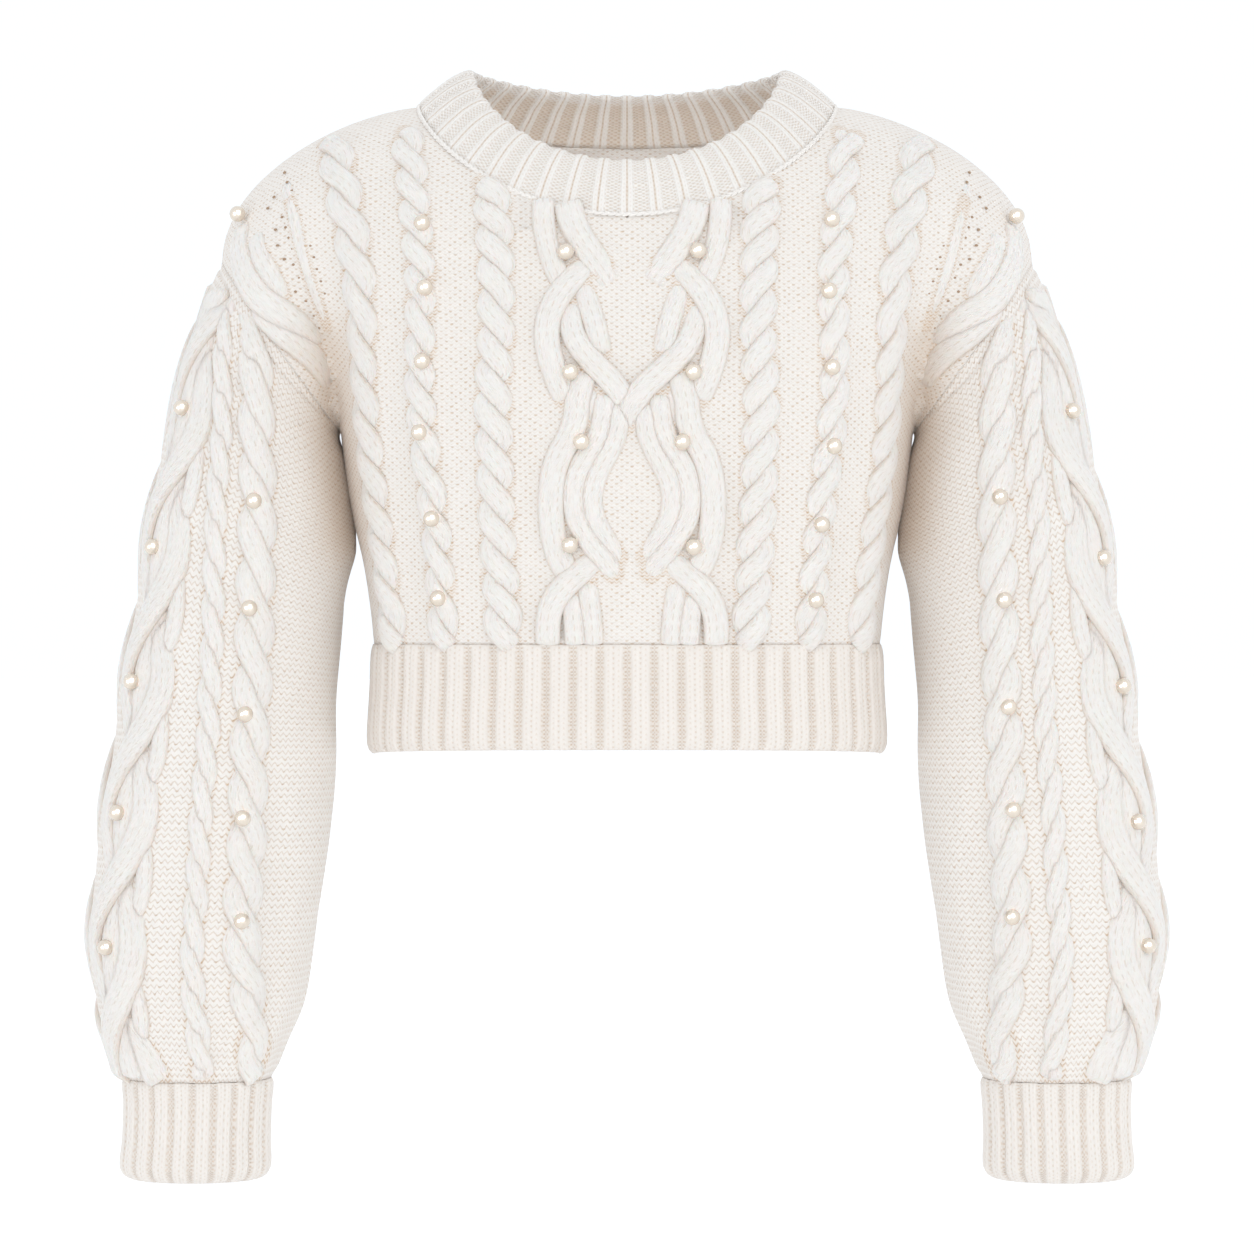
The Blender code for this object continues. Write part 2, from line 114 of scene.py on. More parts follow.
def ridgeHeight(x):
    x, half = np.abs(x), bodyForm["neckHalfWidth"]
    tipX, tipZ = bodyForm["shoulderTip"]
    overNeck = bodyForm["neckRidgeRise"] * (1 - (x / half) ** 2)
    fall = (tipZ - bodyForm["neckPoint"]) * shoulderShare((x - half) / (tipX - half))
    return bodyForm["neckPoint"] + np.where(x < half, overNeck, fall)


def arch(belowRidge, reach):
    t = np.clip(belowRidge / reach, 0, 1)
    return np.sqrt(1 - (1 - t) ** 2)


def bodyDepth(x, z, side):
    x = np.abs(x)
    power, arm = bodyForm["torsoPower"], bodyForm["upperArm"]
    below = ridgeHeight(x) - z
    reach = np.clip(x / torso(1, z), 0, 1)
    depth = torso(2 if side == front else 3, z)
    chest = depth * (1 - reach**power) ** (1 / power) * arch(below, bodyForm[side]["arch"])
    tipZ = bodyForm["shoulderTip"][1]
    fall = tipZ - bodyForm["underarm"][1]
    down = (tipZ - z) / fall
    fromAxis = np.abs(x - arm["axisX"] - arm["lean"] * down) * math.cos(math.atan2(arm["lean"], fall))
    away = np.clip(fromAxis / (arm["halfWidth"] - arm["narrowing"] * down), 0, 1)
    upper = bodyForm[side]["armDepth"] * np.sqrt(1 - away**2) * arch(below, arm["arch"])
    return (chest**4 + upper**4) ** 0.25


def bodyPoint(x, z, side):
    return np.stack([x, side * bodyDepth(x, z, side), z], axis=-1)


def neckSeam(angle, side):
    x = bodyForm["neckHalfWidth"] * np.maximum(np.cos(angle), 0)
    x = np.where(x < 1e-9, 0, x)
    drop = bodyForm[side]["neckDrop"] + bodyForm["neckPoint"]
    return x, bodyForm["neckPoint"] - drop * np.sin(angle) ** bodyForm[side]["neckPower"]


def rowEnds(row, side):
    lowX, lowZ = bodyForm["underarm"]
    above = bodyForm["rowsAbove"]
    if row <= 0:
        z = lowZ + row / bodyForm["rowsBelow"] * (lowZ - bodyForm["hemHeight"])
        return (0.0, z), (float(torso(1, z)), z)
    share = (1 - math.cos(math.pi * row / above)) / 2
    tipX, tipZ = bodyForm["shoulderTip"]
    outer = (lowX + (tipX - lowX) * share, lowZ + (tipZ - lowZ) * share)
    toNeck = bodyForm[side]["rowsToNeck"]
    if row < toNeck:
        return (0.0, lowZ + (-bodyForm[side]["neckDrop"] - lowZ) * row / toNeck), outer
    turned = max(0.0, 1 - (row - toNeck) / (above - toNeck)) ** bodyForm["neckEase"]
    x, z = neckSeam(math.pi / 2 * turned, side)
    return (float(x), float(z)), outer


def armholeRim(points):
    (lowX, lowZ), (tipX, tipZ) = bodyForm["underarm"], bodyForm["shoulderTip"]
    middle = np.array([(lowX + tipX) / 2, 0.0, (lowZ + tipZ) / 2])
    aboveUnderarm = np.array([lowX + bodyForm["rimAbove"][0], 0.0, lowZ + bodyForm["rimAbove"][1]])
    along = np.array([tipX - middle[0], 0.0, tipZ - middle[2]])
    share = np.clip(((points - middle) @ along) / (along @ along), -1, 1)[:, None] ** 2
    return unit(middle + (aboveUnderarm - middle) * share - points)


def neckRim(points):
    inward = np.stack([-points[:, 0], -points[:, 1], np.zeros(len(points))], axis=1)
    down = np.array([0.0, 0.0, -1.0])
    return unit(unit(inward) * bodyForm["rimInward"] + down * bodyForm["rimDown"])


clothGrid = {"x": (0, 256, 500), "z": (-332, 28, 300), "level": -120}


def lengthTable(side):  # how far the cloth runs across and up, so that stitches keep their size on it
    x, z = np.linspace(*clothGrid["x"]), np.linspace(*clothGrid["z"])
    y = bodyDepth(x[None, :], z[:, None], side)
    across, up = np.zeros_like(y), np.zeros_like(y)
    across[:, 1:] = np.cumsum(np.hypot(np.diff(x)[None, :], np.diff(y, axis=1)), axis=1)
    up[1:] = np.cumsum(np.hypot(np.diff(z)[:, None], np.diff(y, axis=0)), axis=0)
    return x, z, across, up - up[np.argmin(np.abs(z - clothGrid["level"]))]


def readTable(x, z, table):
    xs, zs, *grids = table
    fx = np.clip((np.abs(x) - xs[0]) / (xs[1] - xs[0]), 0, len(xs) - 1.001)
    fz = np.clip((z - zs[0]) / (zs[1] - zs[0]), 0, len(zs) - 1.001)
    i, j = fz.astype(int), fx.astype(int)
    v, u = fz - i, fx - j
    values = [
        (g[i, j] * (1 - u) + g[i, j + 1] * u) * (1 - v) + (g[i + 1, j] * (1 - u) + g[i + 1, j + 1] * u) * v
        for g in grids
    ]
    return values[0] * np.where(x < 0, -1, 1), values[1]


bodyLengths = {side: lengthTable(side) for side in (front, back)}

# small helpers for meshes


def gridNormals(points, around=False):
    if around:
        padded = np.concatenate([points[:, -1:], points, points[:, :1]], axis=1)
        along = (padded[:, 2:] - padded[:, :-2]) / 2
    else:
        along = np.gradient(points, axis=1)
    return unit(np.cross(along, np.gradient(points, axis=0)))


def wavy(a, b, size=0.5):  # slack of hand-worn cloth
    return size * (
        0.45 * np.sin(a / 13.7 + 0.6) * np.sin(b / 17.9 + 1.1)
        + 0.35 * np.sin((a + 0.7 * b) / 23.0 + 2.0)
        + 0.3 * np.sin((0.8 * a - b) / 31.0)
    )


def creaseDepth(a, b, creases):
    depth = np.zeros_like(a, dtype=float)
    for crease in creases:
        route = np.array(crease["route"], float)
        nearest = np.full(a.shape, 1e9)
        for (a0, b0), (a1, b1) in zip(route[:-1], route[1:]):
            dx, dy = a1 - a0, b1 - b0
            t = np.clip(((a - a0) * dx + (b - b0) * dy) / (dx**2 + dy**2), 0, 1)
            nearest = np.minimum(nearest, np.hypot(a - a0 - t * dx, b - b0 - t * dy))
        depth = depth + crease["depth"] * np.exp(-((nearest / crease["width"]) ** 2))
    return depth


armShadow = {
    "route": ((181.0, -150.0), (178.0, -185.0), (176.0, -214.0), (171.5, -262.0)),
    "depth": 0.36,
    "width": 20.0,
    "reach": 75.0,
}


def underarmShade(points):  # the wool is in its own shadow where the sleeve leaves the body
    x, y, z = np.abs(points[:, 0]), points[:, 1], points[:, 2]
    return creaseDepth(x, z, [armShadow]) * np.exp(-((y / armShadow["reach"]) ** 4))


def runLength(points):  # distance along a line of points
    return np.concatenate([[0], np.cumsum(np.linalg.norm(np.diff(points, axis=0), axis=1))])


def showMesh(name, mesh):
    obj = bpy.data.objects.new(name, mesh)
    bpy.context.scene.collection.objects.link(obj)
    return obj


def setAttribute(mesh, name, values, kind="FLOAT"):
    field = "vector" if kind == "FLOAT_VECTOR" else "value"
    data = mesh.attributes.new(name, kind, "POINT").data
    data.foreach_set(field, np.asarray(values, np.float32).reshape(-1))


def clothMesh(name, points, faces, corners):  # corners: the place in the weave at each corner of each face
    mesh = bpy.data.meshes.new(name)
    mesh.from_pydata((points * mm).tolist(), [], faces)
    layer = mesh.uv_layers.new(name="weave")
    layer.data.foreach_set("uv", np.concatenate(corners).astype(np.float32).reshape(-1))
    work = bmesh.new()
    work.from_mesh(mesh)
    bmesh.ops.recalc_face_normals(work, faces=work.faces)
    work.to_mesh(mesh)
    work.free()
    mesh.shade_smooth()
    return mesh


class Shell:
    def __init__(self):
        self.points, self.faces, self.weave, self.marks, self.count = [], [], [], [], 0

    def addPoints(self, points, mark=None):
        rows, columns = points.shape[:2]
        index = self.count + np.arange(rows * columns).reshape(rows, columns)
        self.points.append(points.reshape(-1, 3))
        self.marks.append(np.zeros(rows * columns) if mark is None else mark.reshape(-1))
        self.count += rows * columns
        return index

    def addGrid(self, index, weave, around=False, loop=False):
        if around:
            index = np.concatenate([index, index[:, :1]], axis=1)
        if loop:
            index = np.concatenate([index, index[:1]], axis=0)
        for source, target in ((index, self.faces), (weave, self.weave)):
            corners = (source[:-1, :-1], source[:-1, 1:], source[1:, 1:], source[1:, :-1])
            flat = [c.reshape(-1, *c.shape[2:]) for c in corners]
            target.append(np.stack(flat, axis=1))

    def addEdge(self, fine, coarse, places, weave):
        # joins a fine border to a coarse one; places are where they meet
        triangles, corners = [], []
        for k in range(len(places) - 1):
            a, b = places[k], places[k + 1]
            middle = (a + b) // 2
            for j in range(a, b):
                triangles.append((fine[j], fine[j + 1], coarse[k] if j < middle else coarse[k + 1]))
                corners.append((weave[j], weave[j + 1], weave[j]))
            triangles.append((fine[middle], coarse[k + 1], coarse[k]))
            corners.append((weave[middle], weave[b], weave[a]))
        self.faces.append(np.array(triangles))
        self.weave.append(np.array(corners))

    def makeObject(self, name, material):
        points = np.concatenate(self.points)
        _, first, merged = np.unique(np.round(points, 3), axis=0, return_index=True, return_inverse=True)
        merged = merged.reshape(-1)
        faces, corners = [], []
        for group, weave in zip(self.faces, self.weave):
            for k, face in enumerate(merged[group].tolist()):
                keep = [i for i in range(len(face)) if face[i] not in face[:i]]
                if len(keep) >= 3:
                    faces.append([face[i] for i in keep])
                    corners.append(weave[k][keep])
        mesh = clothMesh(name, points[first], faces, corners)
        setAttribute(mesh, "besideCable", np.concatenate(self.marks)[first])
        setAttribute(mesh, "underarmShade", underarmShade(points[first]))
        mesh.materials.append(material)
        return showMesh(name, mesh)


# shader and geometry nodes: sums are written as Python, other nodes come from Desk.add


class Wire:
    def __init__(self, desk, socket):
        self.desk, self.socket = desk, socket

    def out(self, name):
        return Wire(self.desk, self.desk.pick(self.socket.node.outputs, name))

    def math(self, operation, other=None, swapped=False):
        pair = [self] if other is None else [other, self] if swapped else [self, other]
        return self.desk.add("ShaderNodeMath", {"operation": operation}, dict(enumerate(pair)))

    def __add__(self, other):
        return self.math("ADD", other)

    __radd__ = __add__

    def __sub__(self, other):
        return self.math("SUBTRACT", other)

    def __rsub__(self, other):
        return self.math("SUBTRACT", other, True)

    def __mul__(self, other):
        return self.math("MULTIPLY", other)

    __rmul__ = __mul__

    def __truediv__(self, other):
        return self.math("DIVIDE", other)

    def __pow__(self, other):
        return self.math("POWER", other)

    def fraction(self):
        return self.math("FRACT")

    def floor(self):
        return self.math("FLOOR")

    def size(self):
        return self.math("ABSOLUTE")

    def fold(self):  # 0 in the middle of each whole step, 1 at its ends
        return (self.fraction() - 0.5).size() * 2

    def rise(self, low, high, start=0.0, end=1.0):  # eased from start to end between low and high
        values = {"Value": self, "From Min": low, "From Max": high, "To Min": start, "To Max": end}
        return self.desk.add("ShaderNodeMapRange", {"interpolation_type": "SMOOTHSTEP"}, values)


class Desk:
    def __init__(self, tree):
        self.tree = tree

    def pick(self, sockets, key):
        if isinstance(key, int):
            return sockets[key]
        return next((s for s in sockets if s.identifier == key), None) or sockets[key]

    def add(self, kind, settings=None, values=None):
        node = self.tree.nodes.new(kind)
        for key, value in (settings or {}).items():
            setattr(node, key, value)
        for key, value in (values or {}).items():
            socket = self.pick(node.inputs, key)
            if isinstance(value, Wire):
                self.tree.links.new(value.socket, socket)
            else:
                socket.default_value = value
        return Wire(self, node.outputs[0]) if len(node.outputs) else None

    def noise(self, place, scale, detail, roughness=0.5, flat=False):
        kind = {"noise_dimensions": "2D"} if flat else {}
        values = {"Vector": place, "Scale": scale, "Detail": detail, "Roughness": roughness}
        return self.add("ShaderNodeTexNoise", kind, values)

    def chance(self, x, y):  # one random value for each whole x and y
        spot = self.add("ShaderNodeCombineXYZ", {}, {"X": x, "Y": y})
        return self.add("ShaderNodeTexWhiteNoise", {"noise_dimensions": "2D"}, {"Vector": spot})

    def attribute(self, name):
        return self.add("ShaderNodeAttribute", {"attribute_name": name}).out("Fac")

    def objectPlace(self):
        return self.add("ShaderNodeTexCoord").out("Object")

    def stored(self, name, kind="FLOAT"):
        return self.add("GeometryNodeInputNamedAttribute", {"data_type": kind}, {"Name": name})


# wool

woolLook = {
    "pale": (0.857, 0.818, 0.776, 1.0),
    "deep": (0.61, 0.44, 0.30, 1.0),
    "roughness": 0.95,
    "sheen": 0.25,
    "fuzz": 0.12,
    "cloud": 0.06,
    "scatter": 0.35,
    "scatterReach": 2.2,
    "strandColumn": 4.7,
    "strandCourse": 6.5,
    "ribCourse": 3.35,
}


def materialDesk(name):
    material = bpy.data.materials.new(name)
    material.use_nodes = True
    material.node_tree.nodes.clear()
    return material, Desk(material.node_tree)


def finishShader(desk, values):
    desk.add("ShaderNodeOutputMaterial", {}, {"Surface": desk.add("ShaderNodeBsdfPrincipled", {}, values)})


def blendColours(desk, share, first, second):
    values = {"Factor_Float": share, "A_Color": first, "B_Color": second}
    return desk.add("ShaderNodeMix", {"data_type": "RGBA"}, values).out("Result_Color")


def finishWool(desk, tone, height, scatter=0.0):
    # tone: 1 on the open yarn, 0 in the gaps between stitches, lower where shade is painted; height in
    # millimetres
    look = woolLook
    place = desk.objectPlace()
    fuzz, cloud = desk.noise(place, 1100.0, 2.0, 0.6), desk.noise(place, 26.0, 2.0)
    shade = tone * (0.99 + look["cloud"] * (cloud - 0.5)) - look["fuzz"] * (fuzz - 0.5).size()
    height = height + look["fuzz"] * fuzz
    finishShader(
        desk,
        {
            "Base Color": blendColours(desk, shade, look["deep"], look["pale"]),
            "Roughness": look["roughness"],
            "Specular IOR Level": 0.05,
            "Subsurface Weight": scatter,
            "Subsurface Radius": (0.5, 0.78, 1.0),
            "Subsurface Scale": look["scatterReach"] * mm,
            "Sheen Weight": look["sheen"],
            "Sheen Roughness": 0.5,
            "Sheen Tint": (1.0, 0.97, 0.94, 1.0),
            "Normal": desk.add("ShaderNodeBump", {}, {"Strength": 1.0, "Distance": mm, "Height": height}),
        },
    )


def weaveWires(desk):
    weave = desk.add("ShaderNodeUVMap", {"uv_map": "weave"})
    parts = desk.add("ShaderNodeSeparateXYZ", {}, {"Vector": weave})
    drift, lift = desk.noise(weave, 0.09, 1.0, flat=True), desk.noise(weave, 0.31, 0.0, flat=True)
    return parts.out("X"), parts.out("Y"), drift - 0.5, lift - 0.5


def vStitches(across, up, column, course, slant):
    # two slanted legs in each column; gives the height from 0 to 1, and the gaps between the stitches
    middle = (across / column).fold()
    leg = (up / course + middle * slant).fold()
    border, core = middle.rise(0.66, 1.0), middle.rise(0.0, 0.34, 1.0, 0.0)
    height = (1 - border * 0.7 - core * 0.45) * (1 - leg * leg * 0.35)
    return height, leg.rise(0.35, 0.95) * (border + core * 0.6)


def makeGroundWool(name, pitch, course, dots, zigzag, groove):
    material, desk = materialDesk(name)
    across, up, drift, lift = weaveWires(desk)
    beside, shade = desk.attribute("besideCable"), desk.attribute("underarmShade")
    across = across + drift * 2.0 + lift * 0.8
    up = up + drift * 1.0 + lift * 0.7
    row = (up / course).floor()
    place = across / pitch + row * 0.5
    side, level = place.fold(), (up / course).fold()
    chance = desk.chance(place.floor(), row)
    away = (side * (pitch / 2)) ** 2 * 0.6 + (level * (course / 2)) ** 2 * 1.5
    hole = away.rise(0.0, 1.1, 1.0, 0.0) * (0.35 + 0.65 * chance)
    teeth = (across * 2 / pitch).fold()
    line = (up / course + teeth * 0.6).fold()
    # darker beside the cables: partly the purl ladder stitches there, partly painted shade where the strands
    # stand over the ground
    ladderAndShade = beside.rise(0.55, 0.95) * (0.35 + 0.65 * line.rise(0.3, 0.9))
    tone = 0.94 - hole * dots - line.rise(0.55, 1.0) * zigzag - ladderAndShade * 0.46 - shade
    finishWool(desk, tone, side.rise(0.0, 0.9) * 0.12 - hole * 0.16 - line.rise(0.5, 1.0) * groove)
    return material


def makeStrandWool():
    material, desk = materialDesk("cream_wool_cable")
    names = ("around", "along", "girth", "underarmShade")
    around, along, girth, shade = (desk.attribute(name) for name in names)
    across = (around - 0.5) * girth + (desk.noise(desk.objectPlace(), 90.0, 1.0) - 0.5) * 0.9
    column, course = across / woolLook["strandColumn"] + 0.5, along / woolLook["strandCourse"]
    chance = desk.chance(column.floor(), course.floor())
    line = column.fold().rise(0.0, 0.30, 1.0, 0.0)
    dash = (course + chance * 0.5).fold().rise(0.35, 0.75, 1.0, 0.0) * chance.rise(0.1, 0.6)
    hairPlace = desk.add("ShaderNodeCombineXYZ", {}, {"X": across * 1.7 + along * 0.35, "Y": along * 0.22})
    hair = desk.noise(hairPlace, 1.0, 2.0, flat=True)
    # painted shade: each strand darkens towards its sides, where it meets the ground
    edge = (around - 0.5).size().rise(0.15, 0.27)
    tone = 1 - line * dash * 0.30 - hair.rise(0.48, 0.76) * 0.17 - edge * 0.30 - shade
    finishWool(desk, tone, hair * 0.6 - line * 0.10 - line * dash * 0.14, woolLook["scatter"])
    return material


def makeRibWool(name, pitch, share, valleyTone, dotTone, crestTone, centreTone=0.0, insideTone=0.0):
    # share: how much of the pitch the raised stitches take, as two columns
    material, desk = materialDesk(name)
    ribs, up, drift, lift = weaveWires(desk)
    up = up + drift * 1.6 + lift
    spot = ribs.fraction() - 0.5 + drift * 0.03
    valley = (spot.size() * 2).rise(share - 0.02, share + 0.10)
    height, gap = vStitches(spot * pitch, up, pitch * share / 2, woolLook["ribCourse"], 0.7)
    step = (spot + 0.5) * pitch / 1.75
    dot = (up / 2.5 + step.floor() * 0.5).fold()
    dot = dot.rise(0.3, 0.95) * (0.5 + step.fold().rise(0.2, 0.9, 0.5, 0.0))
    centre = spot.size().rise(0.0, 0.075, 1.0, 0.0) * centreTone
    # painted shade on the neckband's inner face, from 53 mm round its profile
    inside = up.rise(53.0, 58.0) * insideTone
    crest = crestTone - (1 - valley) * (gap * 0.40 + centre)
    # painted shade darkens the whole of each sunk rib valley, on top of its purl dots
    tone = crest - valley * (valleyTone + dot * dotTone + inside * 3) - inside
    finishWool(desk, tone, (1 - valley) * height * 0.45 + valley * (1 - dot) * 0.4)
    return material


def makePlainWool():
    material, desk = materialDesk("cream_wool_chain")
    hair = desk.noise(desk.objectPlace(), 500.0, 2.0)
    finishWool(desk, 1 - hair.rise(0.5, 0.8) * 0.15, hair * 0.3)
    return material


plainWool = makePlainWool()
groundWool = makeGroundWool("cream_wool_moss", pitch=6.1, course=2.05, dots=0.62, zigzag=0.18, groove=0.12)
sleeveWool = makeGroundWool("cream_wool_sleeve", pitch=8.0, course=4.0, dots=0.36, zigzag=0.40, groove=0.22)
strandWool = makeStrandWool()
hemWool = makeRibWool("cream_wool_rib_hem", 16.3, share=0.76, valleyTone=0.05, dotTone=0.52, crestTone=0.84)
cuffWool = makeRibWool("cream_wool_rib_cuff", 13.1, share=0.73, valleyTone=0.06, dotTone=0.48, crestTone=0.88)
neckWool = makeRibWool(
    "cream_wool_rib_neck", 14.4, share=0.46, valleyTone=0.03, dotTone=0.44, crestTone=0.98, centreTone=0.44,
    insideTone=0.09,
)
print("wool materials made")

# front and back panels

panelSizes = {
    front: {"name": "front_panel", "lowRows": 100, "highRows": 50, "columns": 84},
    back: {"name": "back_panel", "lowRows": 90, "highRows": 40, "columns": 72},
    "sink": 1.3,
    "wall": 3.2,
    "liningStep": 6,
    "edgeRows": 7,
    "seamDip": 0.35,
    "dipReach": 3.0,
    "seamGap": 0.05,
    "rowDepth": 0.15,
    "shallowRows": 6,
    "raise": 2.5,
    "easeReach": 25,
    "bulge": {"depth": 2.8, "height": -235, "tall": 35, "wide": 20},
}


def halfPanel(side):
    size = panelSizes[side]
    toNeck = bodyForm[side]["rowsToNeck"]
    low = np.linspace(-bodyForm["rowsBelow"], toNeck, size["lowRows"] + 1)
    rowPlaces = np.append(low, np.linspace(toNeck, bodyForm["rowsAbove"], size["highRows"] + 1)[1:])
    fine = np.sin(np.linspace(0, math.pi / 2, 500))
    rows = []
    for row in rowPlaces:
        (x0, z0), (x1, z1) = rowEnds(row, side)
        length = runLength(bodyPoint(x0 + (x1 - x0) * fine, z0 + (z1 - z0) * shoulderShare(fine), side))
        turns = np.interp(np.linspace(0, length[-1], size["columns"] + 1), length, fine)
        rows.append(bodyPoint(x0 + (x1 - x0) * turns, z0 + (z1 - z0) * shoulderShare(turns), side))
    points = np.array(rows)
    points[-1, :, 1] = 0
    inward = gridNormals(points) * side
    underarm = int(np.argmin(np.abs(rowPlaces)))
    corner = size["lowRows"]
    fade = [(1 - k / panelSizes["edgeRows"]) ** 2 for k in range(panelSizes["edgeRows"])]
    ridge = np.gradient(points[-1], axis=0)
    ridge = unit(np.stack([ridge[:, 2], 0 * ridge[:, 1], -ridge[:, 0]], axis=1))
    for k, w in enumerate(fade):  # edges lean as the seams do
        inward[k, :, 2] *= 1 - w
        onRidge = np.maximum(w, np.clip(1 - np.abs(points[-1 - k, :, 1]) / 1.5, 0, 1))[:, None]
        inward[-1 - k] = unit(inward[-1 - k] * (1 - onRidge) + ridge * onRidge)
        inward[:underarm, -1 - k, 1] *= 1 - w
        rim = armholeRim(points[underarm:, -1])
        inward[underarm:, -1 - k] = unit(inward[underarm:, -1 - k] * (1 - w) + rim * w)
        rim = neckRim(points[corner:, 0])
        inward[corner:, k] = unit(inward[corner:, k] * (1 - w) + rim * w)
        if k == 0:
            inward[:corner, 0, 0] = 0
    return points, unit(inward), underarm, corner


cableMark = {"reach": 4.0, "leastLift": -1.4, "overlap": 1.0}


def strandMarks(points, strands):  # 1 beside a cable, falling away over the reach
    tree = KDTree(sum(len(s["points"]) for s in strands))
    half = []
    for strand in strands:
        for point, size, lift in zip(strand["points"], strand["halfWidth"], strand["lift"]):
            if lift > cableMark["leastLift"]:
                tree.insert(point, len(half))
                half.append(size)
    tree.balance()
    flat = points.reshape(-1, 3)
    marks = np.zeros(len(flat))
    for k, point in enumerate(flat):
        _, index, distance = tree.find(point)
        away = max(0.0, distance - half[index] + cableMark["overlap"])
        marks[k] = math.exp(-away / cableMark["reach"])
    return marks.reshape(points.shape[:2])


def makePanel(side, strands):
    size = panelSizes[side]
    points, inward, underarm, corner = halfPanel(side)
    x, z = points[..., 0], points[..., 2]
    rows, columns = points.shape[:2]
    steps = np.linalg.norm(np.diff(points, axis=1), axis=2).mean(axis=1)[:, None]
    fromSide = (columns - 1 - np.arange(columns))[None, :] * steps
    fromHem = z - bodyForm["hemHeight"]
    fromRidge = np.abs(points[..., 1]) + 2
    rowsFromRidge = np.arange(rows)[::-1][:, None]
    gap = panelSizes["seamGap"]
    leastDepth = gap + panelSizes["rowDepth"] * np.minimum(rowsFromRidge, panelSizes["shallowRows"])
    nearSeams = (np.exp(-((away / panelSizes["dipReach"]) ** 2)) for away in (fromHem, fromRidge))
    dip = panelSizes["seamDip"] * sum(nearSeams)
    # slack dies away at the seams
    ease = np.minimum(1, np.minimum(fromSide, np.minimum(fromHem, fromRidge)) / panelSizes["easeReach"])
    form = panelSizes["bulge"]
    aboveBulge, besideBulge = (z - form["height"]) / form["tall"], fromSide / form["wide"]
    bulge = form["depth"] * np.exp(-(aboveBulge**2) - besideBulge**2)
    across, up = readTable(x, z, bodyLengths[side])
    step = panelSizes["liningStep"]
    coarseRows = sorted(set(range(0, rows, step)) | {corner, rows - 1})
    coarseColumns = sorted(set(range(0, columns, step)) | {columns - 1})
    tip = np.array(bodyForm["shoulderTip"]) - bodyForm["underarm"]
    moved = points.copy()
    moved[..., 1] += side * gap
    moved[0, :, 2] += gap
    moved[underarm:, -1] += np.array([-tip[1], 0, tip[0]]) / np.linalg.norm(tip) * gap
    shell = Shell()
    for hand in (-1, 1):
        mirror = np.array([hand, 1.0, 1.0])
        slack = wavy(x * hand + 40, z) * ease
        outer = (moved + inward * (panelSizes["sink"] + dip - slack)[..., None]) * mirror
        inner = (moved + inward * (panelSizes["sink"] + panelSizes["wall"])) * mirror
        weave = np.stack([across * hand * side * -1, up], axis=-1)
        mark = strandMarks(outer, strands)
        outer -= inward * mirror * (panelSizes["raise"] * mark * ease + bulge)[..., None]
        for layer in (outer, inner):
            layer[..., 1] = side * np.maximum(side * layer[..., 1], leastDepth)
        fineIndex = shell.addPoints(outer, mark)
        shell.addGrid(fineIndex, weave)
        coarse = np.ix_(coarseRows, coarseColumns)
        coarseIndex = shell.addPoints(inner[coarse])
        shell.addGrid(coarseIndex, weave[coarse])
        neckRows = [r for r in coarseRows if r >= corner]
        first = coarseRows.index(corner)
        shell.addEdge(fineIndex[0], coarseIndex[0], coarseColumns, weave[0])
        shell.addEdge(fineIndex[-1], coarseIndex[-1], coarseColumns, weave[-1])
        shell.addEdge(fineIndex[:, -1], coarseIndex[:, -1], coarseRows, weave[:, -1])
        shell.addEdge(fineIndex[:, 0], coarseIndex[first:, 0], neckRows, weave[:, 0])
    obj = shell.makeObject("knitted_" + size["name"], groundWool)
    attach(obj, "root")
    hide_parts(size["name"])
    return obj


# cable strands: routes on the cloth, swept by geometry nodes


strandSection = {
    "step": 2.1,
    "sides": 14,
    "crest": 0.46,
    "belly": 0.75,
    "fullness": 0.88,
    "girth": 4.9,
    "lean": 0.25,
    "endWidth": 0.45,
    "endSink": 2.6,
}


def bodyChart(side):
    def chart(x, z):
        step = 0.3
        point = bodyPoint(x, z, side)
        right = bodyPoint(x + step, z, side) - bodyPoint(x - step, z, side)
        above = bodyPoint(x, z + step, side) - bodyPoint(x, z - step, side)
        return point, unit(np.cross(above, right)) * side

    return chart


def layLine(chart, first, second):
    # an evenly spaced line on the cloth, with the cloth's direction outwards at each point
    first, second = np.asarray(first, float), np.asarray(second, float)
    length = runLength(chart(first, second)[0])
    at = np.linspace(0, length[-1], max(4, int(length[-1] / strandSection["step"])))
    first, second = np.interp(at, length, first), np.interp(at, length, second)
    points, outward = chart(first, second)
    along = unit(np.gradient(points, axis=0))
    outward = unit(outward - along * (outward * along).sum(axis=1, keepdims=True))
    across = np.cross(along, outward)
    line = {"points": points, "outward": outward, "across": across, "at": at}
    return {**line, "first": first, "second": second}


def taper(at, start, end):
    share = np.ones_like(at)
    if start:
        share *= np.clip(at / start, 0, 1)
    if end:
        share *= np.clip((at[-1] - at) / end, 0, 1)
    return share * (2 - share)


def ropeStrands(line, crossings, size, slide, towards):
    # two strands that swap sides at each crossing; slide finds the cloth at a distance beside the line
    heights = np.array(crossings, float)
    spans = np.diff(heights)
    heights = np.concatenate([[heights[0] - spans[0] * 3], heights, [heights[-1] + spans[-1] * 3]])
    counts = np.concatenate([[-3], np.arange(len(crossings)), [len(crossings) + 2]])
    turn = math.pi * smooth(line["second"], heights, counts) + math.pi / 2
    scale = 1 + (size.get("grow", 1.0) - 1) * line["at"] / line["at"][-1]
    top, foot = taper(line["at"], size.get("top", 6), 0), taper(line["at"], 0, 7)
    strands = []
    for half in (0, 1):
        angle = turn + math.pi * half
        swing = np.cos(angle) * scale
        points, outward = slide(size["swing"] * swing)
        lift = size["rise"] + size["lift"] * np.sin(angle)
        lift = lift - (1 - top) * size.get("sink", 3.6) - (1 - foot) * 5
        lean = towards * (strandSection["lean"] * swing)[:, None]
        width = size["halfWidth"] * scale * (0.8 + 0.2 * top)
        points = points + outward * lift[:, None]
        strands.append({"points": points, "outward": unit(outward + lean), "halfWidth": width, "lift": lift})
    return strands


